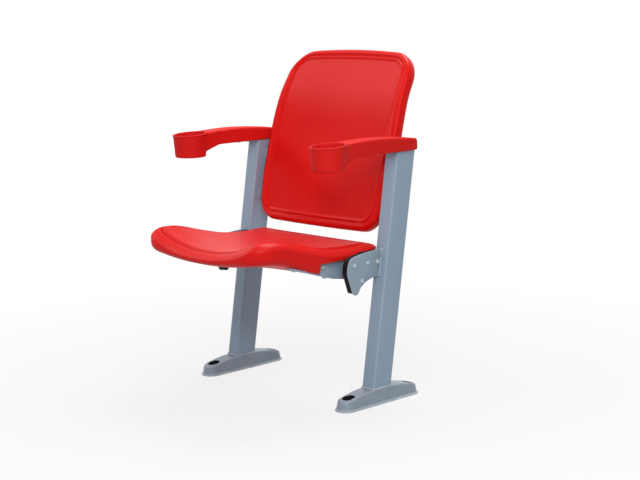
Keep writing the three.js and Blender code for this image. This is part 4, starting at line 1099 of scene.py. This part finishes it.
def foot_skin():
    wall = FOOT_COVE_INSET + FOOT_DRAFT
    rings = []
    for inset, height in FOOT_SIDE_LINE:
        rings.append([(x, y, height) for x, y in foot_places(inset)])
    for inset, sink in reversed(edge_round(FOOT_TOP_ROUND, FOOT_TOP_ROUND_STEPS)):
        rings.append([(x, y, foot_top(y) - sink) for x, y in foot_places(wall + inset)])
    for inset in FOOT_TOP_INSETS:
        rings.append([(x, y, foot_top(y)) for x, y in foot_places(inset)])
    count = len(rings[0])
    points = [point for ring in rings for point in ring] + [(0, (FOOT_FRONT + FOOT_REAR) / 2, 0)]
    return mesh_from("foot", points, ring_faces(count, len(rings), first_centre=count * len(rings)))


def foot_mesh():
    """A foot with a collar round the post, a pocket and a bore for each floor bolt, and small fillets."""
    piece = shown("foot", foot_skin())
    collar = ring_skin("collar", [post_ring(FOOT_TOP + rise, 0, growth) for rise, growth in FOOT_COLLAR])
    joined(piece, [collar], "UNION")
    tools = []
    for y in FOOT_HOLES.values():
        place = (0, y, 0)
        tools.append(cylinder("pocket", FOOT_POCKET_RADIUS, FOOT_POCKET_FLOOR, FOOT_POCKET_TOP, place))
        tools.append(cylinder("bore", FOOT_BORE_RADIUS, -BORE_PAST, FOOT_POCKET_FLOOR + BORE_PAST, place,
                              sides=24))
    joined(piece, tools, "DIFFERENCE")
    return finished_mesh(remeshed(piece, *FOOT_MELT))


both_sides("foot_skin", moved(foot_mesh(), POST_X), "foot", FRAME_BODY, CAST_GREY,
           MOULDED_SHARP_ANGLE)

foot_weld = bead_mesh("foot weld", round_path(post_ring(FOOT_TOP + FOOT_WELD_RISE, 0, FOOT_WELD_GROWTH)),
                      FOOT_WELD_RADIUS, True)
both_sides("foot_weld", moved(foot_weld, POST_X), None, FRAME_BODY, CAST_GREY,
           MOULDED_SHARP_ANGLE)


# Bolt caps: a domed disc that lies along the foot's slope, with a fine step round its edge
def cap_mesh(y):
    radius = FOOT_POCKET_RADIUS - FIT_GAP
    slope = (foot_top(y + radius) - foot_top(y - radius)) / (2 * radius)
    top = foot_top(y) - CAP_SINK
    dome = radius + CAP_LINE[-1][0]
    crown = CAP_CROWN + CAP_STEP
    angles = [QUARTER * i / CAP_DOME_STEPS for i in range(1, CAP_DOME_STEPS)]
    profile = [(AXIS, top + CAP_LINE[0][1])]
    profile += [(radius + outset, top + rise) for outset, rise in CAP_LINE]
    profile += [(dome * math.cos(a), top - CAP_STEP + crown * math.sin(a)) for a in angles]
    mesh = turned("bolt cap", profile + [(AXIS, top + CAP_CROWN)], (0, 0, 0), (0, 0, 1), CAP_SIDES)
    middle = SHIFT * MM
    for vertex in mesh.vertices:
        vertex.co.z += slope * (vertex.co.y - middle)
        vertex.co.y += y * MM
    return moved(mesh, POST_X)


for end, y in FOOT_HOLES.items():
    both_sides(f"{end}_cap_skin", cap_mesh(y), f"{end}_bolt_cap", FRAME_BODY, CAP_BLACK)


# Hinge plates and housings
def curve_places(start, bend, end, steps=14):
    """Places along a curve that leaves start towards bend and comes from there to end, without start."""
    places = []
    for i in range(1, steps + 1):
        t = i / steps
        places.append(tuple((1 - t) ** 2 * a + 2 * t * (1 - t) * b + t * t * c
                            for a, b, c in zip(start, bend, end)))
    return places


def arc_places(cy, cz, radius, start, end, steps=14):
    angles = [start + (end - start) * i / steps for i in range(steps + 1)]
    return [(cy + radius * math.cos(a), cz + radius * math.sin(a)) for a in angles]


def hinge_outline(inset, root_gap):
    """(y, z) places from the root's top along the hinge's upper edge, down its arc and round its tip."""
    arc_radius, tip_radius = HINGE_ARC_RADIUS - inset, HINGE_TIP_RADIUS - inset
    tip_y, tip_z = PIVOT_Y - HINGE_TIP_FORWARD, PIVOT_HEIGHT - HINGE_TIP_DROP
    low, high = PIVOT_HEIGHT - HINGE_ROOT_DROP + inset, PIVOT_HEIGHT + HINGE_ROOT_RISE - inset
    root_high, root_low = (high * LEAN_SLOPE - root_gap, high), (low * LEAN_SLOPE - root_gap, low)
    arc = arc_places(PIVOT_Y, PIVOT_HEIGHT, arc_radius, HINGE_TOP_FRONT, HINGE_ARC_END)
    top_bend = (arc[0][0] + tip_radius, high - HINGE_TOP_SAG)
    tip = arc_places(tip_y, tip_z, tip_radius, HINGE_ARC_END, HINGE_TIP_END)
    under_bend = (tip_y + 2 * tip_radius, low - HINGE_UNDER_SAG)
    upper_edge = curve_places(root_high, top_bend, arc[0])
    return [root_high] + upper_edge + arc[1:] + tip + curve_places(tip[-1], under_bend, root_low)


def hinge_plate_mesh():
    inner = HINGE_PLATE_OUTER_X - HINGE_PLATE_THICKNESS
    plate = side_plate("hinge plate", hinge_outline(0, FIT_GAP), inner, HINGE_PLATE_OUTER_X)
    return finished_mesh(soft_edges(shown("plate", plate), HINGE_PLATE_EDGE, 3))


def housing_mesh():
    """A housing with a lug that closes it towards the post and a blind bore for the pivot hub."""
    outline = hinge_outline(HOUSING_INSET, HOUSING_POST_GAP)
    block = shown("block", side_plate("hinge housing", outline, HOUSING_INNER_X, HOUSING_OUTER_X))
    low, high = PIVOT_HEIGHT + HOUSING_LUG_ROOT, PIVOT_HEIGHT + HOUSING_LUG_RISE
    front, rear = PIVOT_Y + HOUSING_LUG_FRONT, PIVOT_Y + HOUSING_LUG_REAR
    corners = [(front, low), (rear, low), (rear, high), (front, high)]
    joined(block, [side_plate("lug", corners, HOUSING_INNER_X, HOUSING_OUTER_X)], "UNION")
    bore = cylinder("bore", HOUSING_BORE_RADIUS, HOUSING_INNER_X - BORE_PAST,
                    HOUSING_OUTER_X - HOUSING_BORE_FLOOR, (0, PIVOT_Y, PIVOT_HEIGHT), (1, 0, 0), 40)
    joined(block, [bore], "DIFFERENCE")
    return finished_mesh(soft_edges(block, HOUSING_EDGE, 3))


both_sides("hinge_plate_skin", hinge_plate_mesh(), "hinge_plate", FRAME_BODY, HINGE_GREY)
both_sides("hinge_housing_skin", housing_mesh(), "hinge_housing", FRAME_BODY, BLACK_PLASTIC)

weld_low = PIVOT_HEIGHT - HINGE_ROOT_DROP - HINGE_WELD_BELOW
weld_high = PIVOT_HEIGHT + HINGE_ROOT_RISE + HINGE_WELD_ABOVE
for number, (outset, radius) in enumerate(HINGE_WELDS, 1):
    x = HINGE_PLATE_OUTER_X + outset
    path = between((x, weld_low * LEAN_SLOPE - HINGE_WELD_STAND, weld_low),
                   (x, weld_high * LEAN_SLOPE - HINGE_WELD_STAND, weld_high))
    weld = bead_mesh("hinge weld", path, radius, False, HINGE_WELD_RIPPLE)
    both_sides(f"hinge_weld_{number}", weld, None, FRAME_BODY, WELD_GREY, MOULDED_SHARP_ANGLE)


# Rivets, screws and bolts: turned afresh about the axis of the node that each one stands for
FASTENER_SIDES = 28
FASTENER_SHARP_ANGLE = 40

# What lies within this many metres of a node's last point is its end, and its axis is drawn nearer this often
END_DEPTH = 0.002
AXIS_PASSES = 60

# (radius, depth below the head's top), from the recess in the head down to the tip
SCREW_LINE = [(1.2, 1.7), (1.9, 0.5), (2.3, 0.15), (2.9, 0.02), (3.7, 0.15), (4.5, 0.6), (4.95, 1.4), (5, 3),
              (2.5, 3), (2.5, 18.4), (2.1, 19)]
RIVET_HEAD_RADIUS = 6
RIVET_HEAD_RISE = 3.4
RIVET_HEAD_STEPS = 8
RIVET_SHANK_RADIUS = 3
RIVET_TAIL_RADIUS = 5
RIVET_TAIL_END_RADIUS = 4.4
RIVET_TAIL = 2
RIVET_TAIL_EASE = 0.5


def own_axis(name):
    """The head's outer end and the way from it into the piece, for a turned node, in metres."""
    points = [v.co.copy() for v in frame["nodes"][name].data.vertices]
    centre = sum(points, Vector()) / len(points)
    way = max((p - centre for p in points), key=lambda p: p.length).normalized()
    for _ in range(AXIS_PASSES):
        pulled = sum(((p - centre) * (p - centre).dot(way) for p in points), Vector())
        way = pulled.normalized()
    along = [(p - centre).dot(way) for p in points]
    first, last = min(along), max(along)

    def reach(end):
        """How far the node goes from its axis at that end."""
        return max(((p - centre) - way * place).length
                   for p, place in zip(points, along) if abs(place - end) < END_DEPTH)

    if reach(first) < reach(last):
        first, way = -last, -way
    return centre + way * first, way


def fastener(name, profile, finish):
    """A piece turned from (radius, depth) pairs on a node's own axis."""
    start, way = own_axis(name)
    turn = Vector((0, 0, 1)).rotation_difference(way).to_matrix().to_4x4()
    mesh = ring_skin(name, [[(r * math.cos(a), r * math.sin(a), z) for a in full_turn(FASTENER_SIDES)]
                            for r, z in profile])
    mesh.transform(Matrix.Translation(start) @ turn @ Matrix.Translation((0, -SHIFT * MM, 0)))
    piece = smooth(shown(f"{name}_skin", mesh), FASTENER_SHARP_ANGLE)
    dress(piece, [name], body_of(name), finish)


def rivet_line():
    """A domed head, a shank through plate and housing, and a flat tail on the housing's inner face."""
    depth = HINGE_PLATE_OUTER_X + FIT_GAP + RIVET_HEAD_RISE - (HOUSING_INNER_X - FIT_GAP - RIVET_TAIL)
    angles = [QUARTER * (1 - i / RIVET_HEAD_STEPS) for i in range(1, RIVET_HEAD_STEPS + 1)]
    dome = [(RIVET_HEAD_RADIUS * math.cos(a), RIVET_HEAD_RISE - RIVET_HEAD_RISE * math.sin(a))
            for a in angles]
    shank = [(RIVET_SHANK_RADIUS, RIVET_HEAD_RISE), (RIVET_SHANK_RADIUS, depth - RIVET_TAIL)]
    tail = [(RIVET_TAIL_RADIUS, depth - RIVET_TAIL), (RIVET_TAIL_RADIUS, depth - RIVET_TAIL_EASE),
            (RIVET_TAIL_END_RADIUS, depth)]
    return [(AXIS, 0), *dome, *shank, *tail, (AXIS, depth)]


for name in list(frame["nodes"]):
    if "rivet" in name:
        fastener(name, rivet_line(), RIVET_GREY)
    elif "screw" in name or "bracket_bolt" in name:
        fastener(name, capped(SCREW_LINE), ZINC)


# Sheet-metal parts: the node's own shape with its edges eased
SHEET_EDGE = 0.5


def eased_copy(name, finish):
    piece = shown(f"{name}_skin", frame["nodes"][name].data.copy())
    clean = bmesh.new()
    clean.from_mesh(piece.data)
    bmesh.ops.remove_doubles(clean, verts=clean.verts, dist=MERGE)
    bmesh.ops.dissolve_limit(clean, angle_limit=math.radians(1), verts=clean.verts, edges=clean.edges)
    clean.to_mesh(piece.data)
    clean.free()
    smooth(soft_edges(piece, SHEET_EDGE))
    dress(piece, [name], body_of(name), finish)


for name in list(frame["nodes"]):
    if name.endswith("pivot_hub"):
        eased_copy(name, ZINC)
    elif name.endswith(("back_bracket", "seat_arm", "armrest_plate")):
        eased_copy(name, HINGE_GREY)


# Camera: the place and lens worked out from the posts' edges
CAMERA_PLACE = (2708.0, -2412.7, 984.4)
CAMERA_AXES = ((0.6826497, 0.7303202, -0.0249339), (-0.1050388, 0.1318351, 0.9856908),
               (0.7231571, -0.6702625, 0.1667092))
FOCAL_PIXELS = 1485.4
IMAGE_WIDTH = 640

camera_data = bpy.data.cameras.new("camera")
camera_data.sensor_width = 36
camera_data.lens = FOCAL_PIXELS * camera_data.sensor_width / IMAGE_WIDTH
camera_data.clip_end = 50
camera = bpy.data.objects.new("camera", camera_data)
bpy.context.scene.collection.objects.link(camera)
camera_spot = Matrix.Translation((CAMERA_PLACE[0] * MM, (CAMERA_PLACE[1] + SHIFT) * MM, CAMERA_PLACE[2] * MM))
camera.matrix_world = camera_spot @ Matrix(CAMERA_AXES).transposed().to_4x4()
bpy.context.scene.camera = camera


# Studio: a pale floor, a white background and soft lights, in metres and watts
FLOOR_SIDES = 96
FLOOR_RADII = (0.5, 1, 1.6, 2.4)
FLOOR_GREY = (0.6, 0.6, 0.6, 1)
FLOOR_FADE_FROM = 0.4
FLOOR_FADE_TO = 1.4
FLOOR_NEAR_WHITE = 0.78
SKY_LIGHT = 0.25
WHITE = (1, 1, 1, 1)


def add_light(name, place, target, size, power):
    """A round soft light that faces its target."""
    data = bpy.data.lights.new(name, "AREA")
    data.shape = "DISK"
    data.size = size
    data.energy = power
    light = bpy.data.objects.new(name, data)
    bpy.context.scene.collection.objects.link(light)
    light.location = place
    light.rotation_mode = "QUATERNION"
    light.rotation_quaternion = (Vector(target) - Vector(place)).to_track_quat("-Z", "Y")


def seen_rays(tree):
    """Is 1 on the rays that show what lies round the seat: from the camera, off a gloss, through glass."""
    ray = tree.nodes.new("ShaderNodeLightPath")
    seen = add_math(tree, "MAXIMUM", ray.outputs["Is Camera Ray"], ray.outputs["Is Glossy Ray"])
    return add_math(tree, "MAXIMUM", seen, ray.outputs["Is Transmission Ray"])


def white_sky():
    """A world that is seen white and lights the seat only faintly."""
    world = bpy.data.worlds.new("studio")
    world.use_nodes = True
    sky = world.node_tree
    sky.nodes.clear()
    strength = add_range(sky, seen_rays(sky), 0.0, 1.0, SKY_LIGHT, 1.0)
    glow = add_node(sky, "Background", {"Color": WHITE, "Strength": strength}, "Background")
    feed(sky, sky.nodes.new("ShaderNodeOutputWorld"), {"Surface": glow})
    return world


def floor_finish():
    """A pale floor that fades to white away from the seat and keeps its shadow."""
    finish = bpy.data.materials.new("pale floor")
    finish.use_nodes = True
    paint = finish.node_tree
    pale = paint.nodes["Principled BSDF"]
    feed(paint, pale, {"Base Color": FLOOR_GREY, "Roughness": 0.9, "Specular IOR Level": 0.1})
    lift = add_node(paint, "Emission", {"Color": WHITE}, "Emission")
    spot = add_node(paint, "TexCoord", {}, "Object")
    away = add_node(paint, "VectorMath", {0: spot}, "Value", operation="LENGTH")
    white = add_range(paint, away, FLOOR_FADE_FROM, FLOOR_FADE_TO, FLOOR_NEAR_WHITE, 1.0)
    share = add_math(paint, "MULTIPLY", seen_rays(paint), white)
    blend = add_node(paint, "MixShader", {"Fac": share, 1: pale.outputs["BSDF"], 2: lift}, "Shader")
    feed(paint, paint.nodes["Material Output"], {"Surface": blend})
    return finish


def floor_disc():
    points = [(radius * math.cos(a), radius * math.sin(a), 0)
              for radius in FLOOR_RADII for a in full_turn(FLOOR_SIDES)]
    faces = ring_faces(FLOOR_SIDES, len(FLOOR_RADII), first_centre=len(points))
    mesh = bpy.data.meshes.new("floor")
    mesh.from_pydata(points + [(0, 0, 0)], [], [tuple(reversed(face)) for face in faces])
    return mesh


add_light("key", (2.0, -1.6, 2.9), (0, 0, 0.45), 2.4, 66)
add_light("front", (2.0, -1.8, 1.6), (0, 0, 0.5), 0.35, 18)
add_light("window", (-2.4, -1.4, 2.7), (0, 0, 0.6), 2.0, 29)
add_light("top", (-0.3, 1.1, 2.9), (0, 0, 0.4), 1.5, 48)

bpy.context.scene.world = white_sky()
floor = shown("floor", floor_disc())
floor.data.materials.append(floor_finish())

bpy.context.scene.view_settings.view_transform = "Standard"
